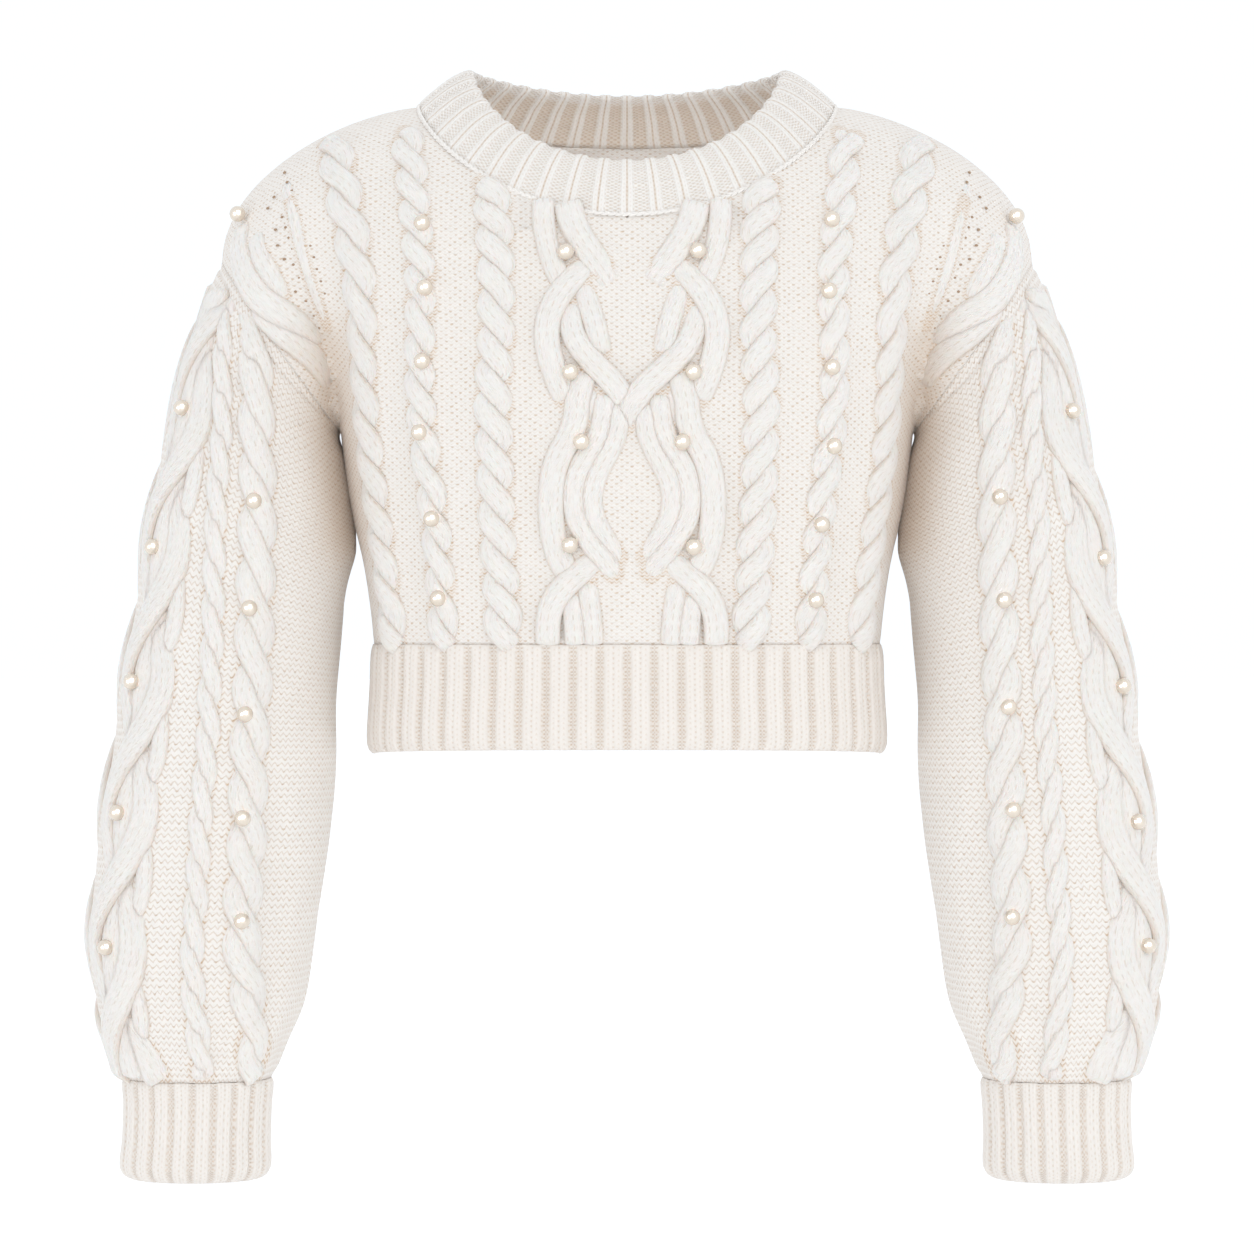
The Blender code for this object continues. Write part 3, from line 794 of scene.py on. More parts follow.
def looseStrand(chart, route, halfWidth, hand=1, middle=0.0, ends=(5, 5)):
    # route: distance from the middle, height, lift of the strand there
    route = np.array(route, float)
    steps = np.linspace(0, len(route) - 1, 30 * len(route))
    knots = np.arange(len(route))
    first = middle + hand * smooth(steps, knots, route[:, 0])
    second = smooth(steps, knots, route[:, 1])
    line = layLine(chart, first, second)
    share = taper(line["at"], *ends)
    length = runLength(chart(first, second)[0])
    lift = np.interp(line["at"], length, smooth(steps, knots, route[:, 2]))
    lift = lift - (1 - share) * strandSection["endSink"]
    points = line["points"] + line["outward"] * lift[:, None]
    width = halfWidth * (strandSection["endWidth"] + (1 - strandSection["endWidth"]) * share)
    return {"points": points, "outward": line["outward"], "halfWidth": width, "lift": lift}


def makeTree(name, inputs, build):
    # build takes the desk and the tree's inputs, and gives the geometry that is realized and finished here
    tree = bpy.data.node_groups.new(name, "GeometryNodeTree")
    for label, kind in {"Geometry": "Geometry", **inputs, "Finish": "Material"}.items():
        tree.interface.new_socket(label, in_out="INPUT", socket_type="NodeSocket" + kind)
    tree.interface.new_socket("Geometry", in_out="OUTPUT", socket_type="NodeSocketGeometry")
    desk = Desk(tree)
    given = desk.add("NodeGroupInput")
    made = desk.add("GeometryNodeSetShadeSmooth", {}, {"Geometry": build(desk, given)})
    made = desk.add("GeometryNodeRealizeInstances", {}, {"Geometry": made})
    made = desk.add("GeometryNodeSetMaterial", {}, {"Geometry": made, "Material": given.out("Finish")})
    desk.add("NodeGroupOutput", {}, {"Geometry": made})
    return tree


def runNodes(obj, tree, values):
    modifier = obj.modifiers.new("build", "NODES")
    modifier.node_group = tree
    for item in tree.interface.items_tree:
        if item.in_out == "INPUT" and item.name in values:
            modifier[item.identifier] = values[item.name]
    graph = bpy.context.evaluated_depsgraph_get()
    mesh = bpy.data.meshes.new_from_object(obj.evaluated_get(graph), depsgraph=graph)
    obj.modifiers.remove(modifier)
    obj.data = mesh
    return mesh


def sweepStrands(desk, given):
    curve = desk.add("GeometryNodeMeshToCurve", {}, {"Mesh": given.out("Geometry")})
    outward = desk.stored("outward", "FLOAT_VECTOR")
    curve = desk.add("GeometryNodeSetCurveNormal", {"mode": "FREE"}, {"Curve": curve, "Normal": outward})
    circle = {"Resolution": given.out("Section sides"), "Radius": 1.0}
    section = desk.add("GeometryNodeCurvePrimitiveCircle", {}, circle)
    section = desk.add("GeometryNodeTransform", {}, {"Geometry": section, "Rotation": (0.0, 0.0, math.pi)})
    parts = desk.add("ShaderNodeSeparateXYZ", {}, {"Vector": desk.add("GeometryNodeInputPosition")})
    x, y = parts.out("X"), parts.out("Y")
    full = y.math("SIGN") * y.size() ** strandSection["fullness"]
    tall = x * given.out("Crest share") * (1 - (1 - strandSection["belly"]) * (0 - x).rise(0.0, 0.4))
    shaped = desk.add("ShaderNodeCombineXYZ", {}, {"X": tall, "Y": full})
    section = desk.add("GeometryNodeSetPosition", {}, {"Geometry": section, "Position": shaped})
    section = desk.add(
        "GeometryNodeStoreNamedAttribute",
        {"data_type": "FLOAT", "domain": "POINT"},
        {"Geometry": section, "Name": "around", "Value": desk.add("GeometryNodeSplineParameter")},
    )
    sweep = {"Curve": curve, "Profile Curve": section, "Scale": desk.stored("halfWidth"), "Fill Caps": True}
    return desk.add("GeometryNodeCurveToMesh", {}, sweep)


sweepTree = makeTree("sweptStrands", {"Section sides": "Int", "Crest share": "Float"}, sweepStrands)


def makeStrands(name, strands):
    points, edges, outward, width, along, girth = [], [], [], [], [], []
    for strand in strands:
        start, count = len(points), len(strand["points"])
        points += strand["points"].tolist()
        edges += [(start + k, start + k + 1) for k in range(count - 1)]
        outward += strand["outward"].tolist()
        width += (strand["halfWidth"] * mm).tolist()
        along += (-runLength(strand["points"])).tolist()
        girth += [float(strand["halfWidth"].max()) * strandSection["girth"]] * count
    points = np.array(points)
    carrier = bpy.data.meshes.new(name)
    carrier.from_pydata((points * mm).tolist(), edges, [])
    setAttribute(carrier, "outward", outward, "FLOAT_VECTOR")
    scalars = {"halfWidth": width, "along": along, "girth": girth, "underarmShade": underarmShade(points)}
    for key, values in scalars.items():
        setAttribute(carrier, key, values)
    obj = showMesh(name, carrier)
    section = {"Section sides": strandSection["sides"], "Crest share": strandSection["crest"]}
    runNodes(obj, sweepTree, {**section, "Finish": strandWool}).name = name
    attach(obj, "root")
    return obj


def pearlHeights(line, hand):
    count = sum(1 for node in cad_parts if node.startswith(f"pearl_{line}_{hand}_"))
    heights = []
    for number in range(1, count + 1):
        low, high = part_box(f"pearl_{line}_{hand}_{number}")
        heights.append((low[2] + high[2]) / 2 / mm)
    return heights


def betweenPearls(heights, before, after):
    # a crossing under each pearl and one between each two
    places = []
    for upper, lower in zip(heights[:-1], heights[1:]):
        places += [upper, (upper + lower) / 2]
    places.append(heights[-1])
    top, low = places[1] - places[0], places[-1] - places[-2]
    above = [places[0] - top * k for k in range(before, 0, -1)]
    return above + places + [places[-1] + low * k for k in range(1, after + 1)]


bodyCables = {
    "outer": {
        "route": (
            (180.8, -20), (173.1, -52.1), (167.7, -77.2), (162.6, -104.8), (160.2, -135.0),
            (159.2, -165.0), (157.5, -195.2), (154.6, -225.4), (150.4, -255.6), (146.4, -285.9),
            (143.4, -310.2), (142.2, -332.5),
        ),
        "crossings": (-27.5, -48.8, -73.4, -99.9, -126, -153, -177, -202, -226.5, -251.4, -275.5, -301, -326),
        "size": {
            "swing": 6.0, "lift": 2.0, "rise": 0.3, "halfWidth": 7.0, "grow": 1.22, "top": 12, "sink": 5.5,
        },
    },
    "middle": {
        "route": (
            (135.8, -16), (131.6, -37.2), (129.2, -59.6), (125.8, -87.7), (123.7, -118.2),
            (124.2, -148.3), (124.2, -178.3), (121.8, -208.3), (117.7, -238.3), (114.2, -268.2),
            (111.9, -298.3), (110.2, -332.5),
        ),
        "size": {"swing": 5.4, "lift": 2.0, "rise": 0.3, "halfWidth": 6.3, "top": 14, "sink": 5.0},
    },
    "inner": {
        "route": (
            (83.7, -51.3), (80.5, -70.0), (79.1, -94.6), (78.4, -118.9), (78.2, -149.1), (80.0, -179.1),
            (79.4, -208.9), (78.3, -244.6), (76.6, -280.4), (74.9, -304.4), (74.3, -332.5),
        ),
        "crossings": (
            -58, -76, -95, -114.6, -137, -157.5, -177, -198, -219, -241, -262.6, -284, -304.4, -325,
        ),
        "size": {"swing": 6.0, "lift": 2.0, "rise": 0.3, "halfWidth": 7.1},
    },
}

# loose strands of the front: half width, then distance from the middle, height, lift above the ground
motif = {
    "middle": 3.0,
    "both": (
        (7.0, ((53.6, -62.5, -0.4), (53.2, -68, 0.9), (52.8, -77.6, 1), (50.9, -90.5, 0.8),
            (47.3, -102.7, 0.4), (42.4, -113.7, -0.6), (36.4, -123.4, -2.2)), (1.5, 5)),
        (8.8, ((39.2, -64.5, -0.4), (37.8, -69.5, 0.9), (35.6, -77.7, 1.1), (31.0, -87.5, 1.0),
            (25.3, -96.1, 0.2), (19.5, -104, -1.2), (14.5, -110.6, -2.8), (10.2, -116.5, -4.4)),
            (1.5, 5)),
        (6.8, ((30.2, -112.0, -3.0), (28.2, -120.5, -1.0), (25.2, -130.0, 0.2), (21.8, -141.0, 0.5),
            (19.6, -151.5, 0.3), (17.6, -160.5, -1.8))),
        (7.9, ((23.9, -101, -2.8), (29.9, -106.4, -1.2), (37.7, -114.9, 0.9), (44.8, -125.2, 1.8),
            (49.5, -136.1, 1.7), (50.7, -147.5, 1.5), (48.9, -159, 1.4), (45.3, -170.4, 1.2),
            (41.7, -179.3, 0.4), (38.1, -187.1, -2))),
        (8.0, ((27.4, -166.2, -2.8), (29.8, -174.6, 0.2), (32.2, -185.3, 1.1), (33.4, -196, 1.3),
            (36.9, -206.7, 1.5), (42.5, -216.8, 1.7), (46.4, -228.1, 1.7), (48.1, -241.2, 1.5),
            (48.2, -254.3, 1.4), (46.6, -267.4, 1.1), (43, -279.3, 0.7), (38.3, -288.3, -0.6),
            (32.9, -296, -2.4))),
        (4.6, ((23.8, -175.8, -1.6), (25, -184.1, 0.2), (26.8, -192.5, 0.2), (29.8, -202, -1.2))),
        (6.8, ((17.3, -179.4, -1.6), (16.7, -188.9, 0.5), (17.9, -199.6, 0.8), (21.4, -209.7, 0.9),
            (27.6, -219.2, 0.9), (33.0, -229.9, 0.9), (35, -242.4, 0.9), (33.2, -254.9, 0.9),
            (28.1, -265, 1.3), (22.1, -273.4, 1.2), (15.5, -281.1, 0.2), (10.8, -288.3, -1.4),
            (6.6, -294.8, -3.2), (3.0, -300.6, -4.8)), (5, 5)),
        (6.8, ((8.9, -185.3, -1.2), (8.3, -195.5, 0.5), (9.5, -205.6, 0.6), (13.1, -214.5, 0.6),
            (17.9, -223.4, 0.6), (22.1, -232.9, 0.5), (23.9, -243.6, 0.5), (22.7, -254.3, 0.6),
            (18.5, -263.8, 0.6), (13.1, -272.2, -0.2), (8.4, -279.9, -1.6), (4.2, -287.7, -3.2),
            (1.4, -294, -4.6)), (5, 5)),
        (7.8, ((20.3, -276.9, -2.8), (25.7, -282.9, -1), (33.5, -289.5, 1.2), (40.7, -296.6, 1.9),
            (46.7, -305, 1.7), (49.7, -314.6, 1.4), (50.3, -324.7, 0.8), (50.3, -332.5, -1.8)), (5, 3)),
        (6.5, ((35.9, -297.8, -2.2), (35.9, -306.2, -0.2), (34.7, -315.8, 0.7), (34.1, -325.9, 0.5),
            (33.5, -332.5, -1.8)), (5, 3)),
        (6.5, ((27.0, -291.3, -2.2), (26.1, -300.2, 0), (24.8, -310.4, 0.6), (23.8, -321.7, 0.3),
            (23.3, -332.5, -1.8)), (5, 3)),
    ),
    -1: (
        (7.4, ((37.0, -124.5, -2.4), (37.2, -134.3, -0.6), (35.2, -145.5, 0.6), (29.6, -155.6, 1.2),
            (21.8, -164.4, 1.5), (13.6, -172.6, 1.5), (7.2, -180.4, 1.2), (2.2, -188.4, -0.8))),
    ),
    1: (
        (7.6, ((39.4, -125.3, -2.4), (38.8, -136.1, -0.6), (35.8, -146.4, 0.6), (29.8, -156.6, 1.2),
            (21.4, -165, 1.6), (13.1, -172.2, 1.9), (6, -179.4, 1.9), (0.6, -187.1, 1.6),
            (-2.4, -196.1, 1.0), (-3, -205.6, 0.2)), (5, 22)),
    ),
}

shoulderBands = {
    "strands": (
        (9.8, ((237, -67, -5), (238.4, -76, -2.8), (238.4, -87, -1.6), (235.2, -100, -1),
            (228.2, -113.5, -0.5), (217.6, -124.8, -0.2), (206, -133.6, -0.4), (195.4, -143.2, -1.8),
            (187, -153, -4)), (14, 8)),
        (7.6, ((230, -76, -4.4), (228, -84, -2.4), (223.6, -95, -1.2), (217.6, -106, -0.8),
            (212.4, -117, -1.2), (209.4, -126, -3.2)), (12, 8)),
        (8.4, ((225.6, -120.6, -4.4), (220.4, -130, -1.8), (211, -139.8, -0.6), (200.6, -148.2, -0.3),
            (191, -156.8, -0.8), (183.6, -166, -2), (178.6, -176, -4.6)), (6, 10)),
        (4.8, ((213, -41, -5), (209.6, -50, -2.4), (204.8, -63.4, -1.1), (200.7, -79.1, -0.7),
            (196.9, -95, -0.7), (192.1, -110.8, -0.7), (186.7, -125.3, -0.8), (181.4, -139.7, -1.2),
            (177.4, -155, -2.4)), (26, 26)),
    ),
    "eyelets": (
        (210.5, -41.3), (208.3, -48), (205, -54), (201.6, -60.5), (199.5, -66.5), (197.6, -73),
        (210.6, -70.4), (208.2, -77), (206, -83.5), (195.4, -82.2), (192.6, -89), (190.4, -96),
        (188.6, -103.2), (186.2, -110.6), (183.8, -118), (214.6, -78), (213, -88), (203.6, -90.4),
        (203, -100), (208.6, -96.6), (199.4, -108), (201.8, -116.4), (195.4, -122),
        (219, -100), (216.4, -57), (220.2, -64), (198.6, -128), (190.6, -131), (187.4, -138.4),
    ),
}


def bodyStrands(side):
    chart = bodyChart(side)
    strands = []
    for name, cable in bodyCables.items():
        for hand, word in ((-1, "right"), (1, "left")):
            route = list(cable["route"])
            if side == back and name == "inner":
                route = [(92.0, -14.0), (88.0, -30.0)] + route
            out, heights = np.array(route).T
            z = np.linspace(heights[0], heights[-1], 500)
            line = layLine(chart, hand * smooth(z, heights, out), z)
            towards = line["across"] * np.sign(line["across"][:, :1] * hand + 1e-9)
            crossings = cable.get("crossings")
            if crossings is None:
                crossings = betweenPearls(pearlHeights("body", word), 3, 1)

            def slide(distance):
                place = line["points"] + towards * distance[:, None]
                return chart(place[:, 0], place[:, 2])

            strands += ropeStrands(line, crossings, cable["size"], slide, towards)
    for hand in (-1, 1):
        for half, route, ends in shoulderBands["strands"]:
            strands.append(looseStrand(chart, route, half, hand, 0.0, ends))
        if side == front:
            for half, route, *ends in motif["both"] + motif[hand]:
                strands.append(looseStrand(chart, route, half, hand, motif["middle"], *ends))
    return strands


for side, word in ((front, "front"), (back, "back")):
    strands = bodyStrands(side)
    makePanel(side, strands)
    makeStrands(word + "_cables", strands)

# sleeves

armholeSeam = ((0, 2), (39, 6.6), (58, 9), (69, 9.5), (86, 11), (105, 11), (119, 9), (139, 4.5), (164, 0))
sleeveForm = {
    "sections": (  # outer end x, z; inner end x, z; depth in front, depth behind, swing forward
        (252.4, -94.2, 177.3, -201.0, 56.0, 58.0, 0.0),
        (263.5, -121.0, 176.9, -216.0, 57.0, 59.0, 0.0),
        (272.0, -149.0, 173.2, -238.0, 58.0, 60.0, -1.0),
        (281.0, -183.0, 171.0, -260.0, 60.0, 61.0, -2.0),
        (290.8, -223.0, 171.4, -279.0, 61.0, 62.0, -3.0),
        (298.6, -266.0, 173.7, -304.0, 62.0, 62.0, -4.0),
        (304.9, -310.0, 176.3, -333.0, 62.0, 62.0, -5.0),
        (313.1, -353.0, 178.5, -366.0, 62.0, 62.0, -6.0),
        (319.1, -397.0, 178.7, -400.0, 62.0, 62.0, -8.0),
        (325.6, -437.0, 181.2, -437.0, 62.0, 61.0, -10.0),
        (328.7, -474.0, 186.2, -474.0, 61.0, 60.0, -11.0),
        (331.6, -515.0, 192.0, -515.0, 60.0, 58.0, -13.0),
        (327.7, -551.0, 198.1, -551.0, 57.0, 54.0, -14.0),
        (319.9, -577.0, 208.9, -577.0, 49.0, 47.0, -15.0),
        (311.4, -598.0, 217.7, -598.0, 41.0, 40.0, -16.0),
    ),
    "rows": 200,
    "columns": 162,
    "sink": 1.3,
    "wall": 3.2,
    "raise": 1.9,
    "aroundWeave": 399.6,
    "gathers": 1.7,
    "gatherReach": 75,
    "gatherEnd": 8,
    "easeReach": 25,
    "topRows": 26,  # rows a millimetre apart from the armhole down
    "liningRows": 8,
    "liningColumns": 6,
    "seamDip": 0.6,
    "backTurn": 18,  # the cables behind mirror those in front, in degrees
    "creases": (  # places are (millimetres round from the outer edge, millimetres down the sleeve)
        {"route": ((137, 300), (141, 380), (139, 470)), "depth": 2.2, "width": 7.0},
        {"route": ((150, 330), (153, 420), (150, 480)), "depth": 1.6, "width": 6.0},
        {"route": ((-120, 260), (-128, 360), (-124, 470)), "depth": 2.0, "width": 8.0},
        {"route": ((186, 20), (196, 60), (199, 100)), "depth": -4.2, "width": 24.0},
        {"route": ((-186, 20), (-196, 60), (-199, 100)), "depth": -4.2, "width": 24.0},
    ),
    "seams": [
        {"route": [(hand * around, down) for around, down in armholeSeam], "depth": 1.3, "width": 1.5}
        for hand in (1, -1)
    ],
}


def sectionValue(at, column, table):
    return smooth(at, np.arange(len(table)), [row[column] for row in table])


def sleevePoint(at, angle):
    table = sleeveForm["sections"]
    outerX, outerZ, innerX, innerZ, ahead, behind, middleY = (sectionValue(at, k, table) for k in range(7))
    share, swing = (1 + np.cos(angle)) / 2, np.sin(angle)
    x, z = innerX + (outerX - innerX) * share, innerZ + (outerZ - innerZ) * share
    y = middleY - np.where(swing > 0, ahead, behind) * swing
    # the first ring lies on the body's own form, and the next blend into the round
    (lowX, lowZ), (tipX, tipZ) = bodyForm["underarm"], bodyForm["shoulderTip"]
    x0, z0 = lowX + (tipX - lowX) * share, lowZ + (tipZ - lowZ) * share
    start = np.where(swing > 0, -bodyDepth(x0, z0, front), bodyDepth(x0, z0, back))
    ellipse = -np.where(swing > 0, bodyForm[front]["armDepth"], bodyForm[back]["armDepth"]) * swing
    blend = np.clip(1 - at, 0, 1) ** 1.5
    return np.stack([x, y + (start - ellipse) * blend, z], axis=-1)


sleeveDown = np.linspace(0, 14, 600)
sleeveLengths = runLength(sum(sleevePoint(sleeveDown, np.full(600, angle)) for angle in (0.6, 1.9)) / 2)


def sleeveSlack(at, angle):
    around = (np.mod(np.degrees(angle) + 180, 360) - 180) / 360 * sleeveForm["aroundWeave"]
    down = np.interp(at, sleeveDown, sleeveLengths)
    left = sleeveLengths[-1] - down
    ease = np.minimum(1, np.minimum(down, left) / sleeveForm["easeReach"])
    near = np.clip(1 - left / sleeveForm["gatherReach"], 0, 1) * np.minimum(1, left / sleeveForm["gatherEnd"])
    gathers = sleeveForm["gathers"] * near * np.sin(angle * 10 + 1.2 * np.sin(angle * 3))
    creases, seams = (creaseDepth(around, down, sleeveForm[key]) for key in ("creases", "seams"))
    return (wavy(around, down, 0.9) - creases) * ease + gathers - seams


def sleeveChart(hand):
    mirror = np.array([hand, 1.0, 1.0])

    def chart(at, degrees):
        angle = np.radians(degrees)
        step = 0.01
        point = sleevePoint(at, angle)
        around = sleevePoint(at, angle + step) - sleevePoint(at, angle - step)
        down = sleevePoint(at + step, angle) - sleevePoint(at - step, angle)
        outward = unit(np.cross(around, down))
        middle = sleevePoint(at, angle + math.pi)
        outward *= np.sign(((point - middle) * outward).sum(axis=-1, keepdims=True))
        point = point + outward * sleeveSlack(at, angle)[..., None]
        return point * mirror, outward * mirror

    return chart


sleeveCables = {
    "thin": {
        "route": ((0.3, 43.0), (0.8, 51.0), (1.6, 58), (2.6, 65.8), (3.7, 71), (4.7, 75.4),
            (5.6, 78.9), (6.5, 82.4), (7.5, 85), (8.4, 85.5), (9.3, 86.7), (10.3, 88.4), (11, 89),
            (11.9, 90.6), (12.7, 93.9), (13.98, 98)),
        "interval": 26.0,
        "size": {"swing": 3.0, "lift": 1.3, "rise": 0.0, "halfWidth": 5.4, "top": 46, "sink": 4.4},
    },
    "inner": {
        "route": ((0.25, 66.0), (0.7, 78.0), (1.1, 83.5), (1.7, 86.3), (2.5, 88.7), (3.4, 94),
            (4.4, 98.2), (5.3, 101.3), (6.2, 103.9), (7, 105.9), (8, 106.4), (8.7, 108.2),
            (9.6, 110.5), (10.3, 111.6), (11.1, 115), (11.8, 120.3), (12.7, 128.7), (13.98, 138)),
        "size": {"swing": 6.0, "lift": 1.9, "rise": 0.2, "halfWidth": 7.5, "top": 44, "sink": 5.4},
    },
    "plait": {
        "route": ((0.35, 31), (3, 37.5), (5, 40), (7, 42.5), (10, 43), (12, 42), (13.98, 41)),
        "size": {
            "swing": 15.5, "lift": 2.2, "rise": 0.2, "halfWidth": 8.6, "grow": 1.16, "top": 44, "sink": 5.6,
        },
        "leaf": ((-0.95, 8, -3.4), (-0.75, 12, -1.6), (-0.45, 15.5, -0.4), (-0.1, 17, -0.1),
            (0.22, 16.5, -0.4), (0.5, 13.5, -1.2), (0.75, 9, -2.8)),
        "leafHalf": 6.2,
        "fillHalf": 12.0,
        "fillLift": -2.6,
        "lowestLeaf": -585,
    },
}


def sleeveStrands(hand, word):
    chart = sleeveChart(hand)
    strands = []
    for name, cable in sleeveCables.items():
        for face in (1, -1):

            def facing(degrees):
                return degrees if face == 1 else sleeveForm["backTurn"] - degrees

            at, degrees = np.array(cable["route"]).T
            places = np.linspace(at[0], at[-1], 600)
            line = layLine(chart, places, facing(smooth(places, at, degrees)))
            degrees = line["second"]
            line["second"] = line["points"][:, 2]
            turn = face if name == "plait" else -face  # the plait's strands cross the other way
            step = chart(line["first"], degrees + turn)[0] - line["points"]

            def slide(distance):
                return chart(line["first"], degrees + turn * distance / np.linalg.norm(step, axis=1))

            if name == "inner":
                crossings = betweenPearls(pearlHeights("sleeve_inner", word), 2, 3)
            elif name == "plait":
                heights = pearlHeights("sleeve_outer", word)
                heights = [2 * heights[0] - heights[1]] + heights + [2 * heights[-1] - heights[-2]]
                crossings = [(a + b) / 2 for a, b in zip(heights[:-1], heights[1:])]
                fill = [(a, facing(d), cable["fillLift"]) for a, d in cable["route"]]
                strands.append(looseStrand(chart, fill, cable["fillHalf"]))
                for height in crossings[1:]:
                    if height > cable["lowestLeaf"]:
                        place = np.interp(-height, -line["points"][:, 2], line["first"])
                        middle = np.interp(place, at, np.array(cable["route"])[:, 1])
                        leaf = [(place + a, facing(middle + d), lift) for a, d, lift in cable["leaf"]]
                        strands.append(looseStrand(chart, leaf, cable["leafHalf"]))
            else:
                count = int(line["at"][-1] / cable["interval"])
                crossings = np.interp(np.arange(count) * cable["interval"], line["at"], line["points"][:, 2])
            strands += ropeStrands(line, crossings, cable["size"], slide, unit(step))
    return strands


def makeSleeve(hand, word, strands):
    form = sleeveForm
    mirror = np.array([hand, 1.0, 1.0])
    top = form["topRows"]
    below = np.linspace(top, sleeveLengths[-1], form["rows"] - top + 1)[1:]
    places = np.append(np.linspace(0, top, top + 1), below)
    at = np.interp(places, sleeveLengths, sleeveDown)
    angles = np.linspace(-math.pi, math.pi, form["columns"] + 1)[:-1]
    a, t = np.meshgrid(angles, at)
    points = sleevePoint(t, a)
    inward = gridNormals(points, around=True)
    centre = points.mean(axis=1, keepdims=True)
    inward *= np.sign(((centre - points) * inward).sum(axis=-1, keepdims=True))
    for k in range(panelSizes["edgeRows"]):
        w = (1 - k / panelSizes["edgeRows"]) ** 2
        inward[k] = unit(inward[k] * (1 - w) + armholeRim(points[0]) * w)
        inward[-1 - k, :, 2] *= 1 - w
    inward = unit(inward)
    down = np.interp(t, sleeveDown, sleeveLengths)
    dip = form["seamDip"] * np.exp(-(((sleeveLengths[-1] - down) / 3) ** 2))
    slack = sleeveSlack(t, a)
    outer = (points + inward * (form["sink"] + dip - slack)[..., None]) * mirror
    mark = strandMarks(outer, strands)
    outer -= inward * mirror * (form["raise"] * mark * np.minimum(1, down / 20))[..., None]
    inner = (points + inward * (form["sink"] + form["wall"] - np.minimum(0, slack))[..., None]) * mirror
    around = np.degrees(np.concatenate([angles, [math.pi]])) / 360 * form["aroundWeave"]
    weave = np.stack(np.meshgrid(around * hand, -(down[:, 0])), axis=-1)
    shell = Shell()
    fine = shell.addPoints(outer, mark)
    shell.addGrid(fine, weave, around=True)
    rows = sorted(set(range(0, form["rows"] + 1, form["liningRows"])) | {form["rows"]})
    columns = list(range(0, form["columns"], form["liningColumns"]))
    coarse = shell.addPoints(inner[np.ix_(rows, columns)])
    shell.addGrid(coarse, weave[np.ix_(rows, columns + [form["columns"]])], around=True)
    places = columns + [form["columns"]]
    for row in (0, -1):
        ring = np.append(fine[row], fine[row][0])
        shell.addEdge(ring, np.append(coarse[row], coarse[row][0]), places, weave[row])
    obj = shell.makeObject("knitted_sleeve_" + word, sleeveWool)
    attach(obj, "root")
    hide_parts("sleeve_" + word)
    return obj


for hand, word in ((-1, "right"), (1, "left")):
    strands = sleeveStrands(hand, word)
    makeSleeve(hand, word, strands)
    makeStrands(f"sleeve_{word}_cables", strands)

# ribbed hem, cuffs and neckband: a smooth band first, then geometry nodes raise its ribs


ribShape = {"flank": (-0.34, 0.16), "grooveHalf": 0.24, "sunk": 0.45, "groove": 0.12, "crest": 0.80}


def raiseRibs(desk, given):
    away = desk.stored("ribs").fold()
    crest = 1 - (away - given.out("Crest share")).rise(*ribShape["flank"])
    groove = given.out("Groove depth") * (1 - away.rise(0.0, ribShape["grooveHalf"]))
    height = (crest * (1 - groove) - ribShape["sunk"]) * given.out("Rib height") * desk.stored("fade")
    raised = {"Vector": desk.add("GeometryNodeInputNormal"), "Scale": height}
    move = desk.add("ShaderNodeVectorMath", {"operation": "SCALE"}, raised)
    return desk.add("GeometryNodeSetPosition", {}, {"Geometry": given.out("Geometry"), "Offset": move})


ribInputs = {"Rib height": "Float", "Groove depth": "Float", "Crest share": "Float"}
ribTree = makeTree("raisedRibs", ribInputs, raiseRibs)


def makeBand(name, rings, ribs, up, fade, form, wool):
    # rings: (row, column, 3), closed both ways; ribs: rib count at each column; up: millimetres at each row
    shell = Shell()
    index = shell.addPoints(rings)
    total = round(ribs[-1] + (ribs[1] - ribs[0]) - ribs[0])
    weave = np.stack(np.meshgrid(np.append(ribs, ribs[0] + total), np.append(up, up[-1] + 3)), axis=-1)
    shell.addGrid(index, weave, around=True, loop=True)
    mesh = clothMesh("knitted_" + name, shell.points[0], shell.faces[0].tolist(), shell.weave)
    rows, columns = rings.shape[:2]
    setAttribute(mesh, "ribs", np.tile(ribs, rows))
    setAttribute(mesh, "fade", np.repeat(fade, columns))
    obj = showMesh("knitted_" + name, mesh)
    shape = {**ribShape, **form}
    values = {"Groove depth": shape["groove"], "Crest share": shape["crest"], "Finish": wool}
    runNodes(obj, ribTree, {"Rib height": shape["ribHeight"] * mm, **values})
    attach(obj, "root")
    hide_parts(name)
    return obj


def evenAngles(ringAt, count, first):
    # angles at even steps round a ring, starting at a given angle
    angles = first + np.linspace(0, 2 * math.pi, 4001)
    length = runLength(ringAt(angles))
    return np.interp(np.linspace(0, length[-1], count + 1)[:-1], length, angles)


hemForm = {
    "ribs": 52,
    "perRib": 14,
    "ribHeight": 3.3,
    "rowStep": 3.2,
    "evenHeight": -365.0,  # where the ribs are evenly wide
    "sweep": {"rise": 4.5, "top": -331.3, "deep": 67.7},  # the lower edge rises towards front and back
    "profile": (  # height, how far it stands out, share of the ribs' height there
        (-331.0, -1.1, 0.0), (-331.8, -0.7, 0.1), (-334, -0.5, 0.4), (-338, -0.5, 0.8),
        (-344, -0.5, 1), (-358, -0.5, 1), (-366, -0.5, 1), (-374, -0.5, 1), (-382, -0.5, 1),
        (-388, -0.7, 1), (-393, -1.0, 0.9), (-396.5, -1.6, 0.5), (-398.6, -2.9, 0.15),
        (-399.0, -4.2, 0.05), (-398.2, -5.6, 0.1), (-395, -6.2, 0.4), (-384, -5.0, 0.5),
        (-366, -5.0, 0.5), (-350, -5.0, 0.4), (-336, -5.0, 0.2), (-331.2, -4.8, 0.0),
    ),
}


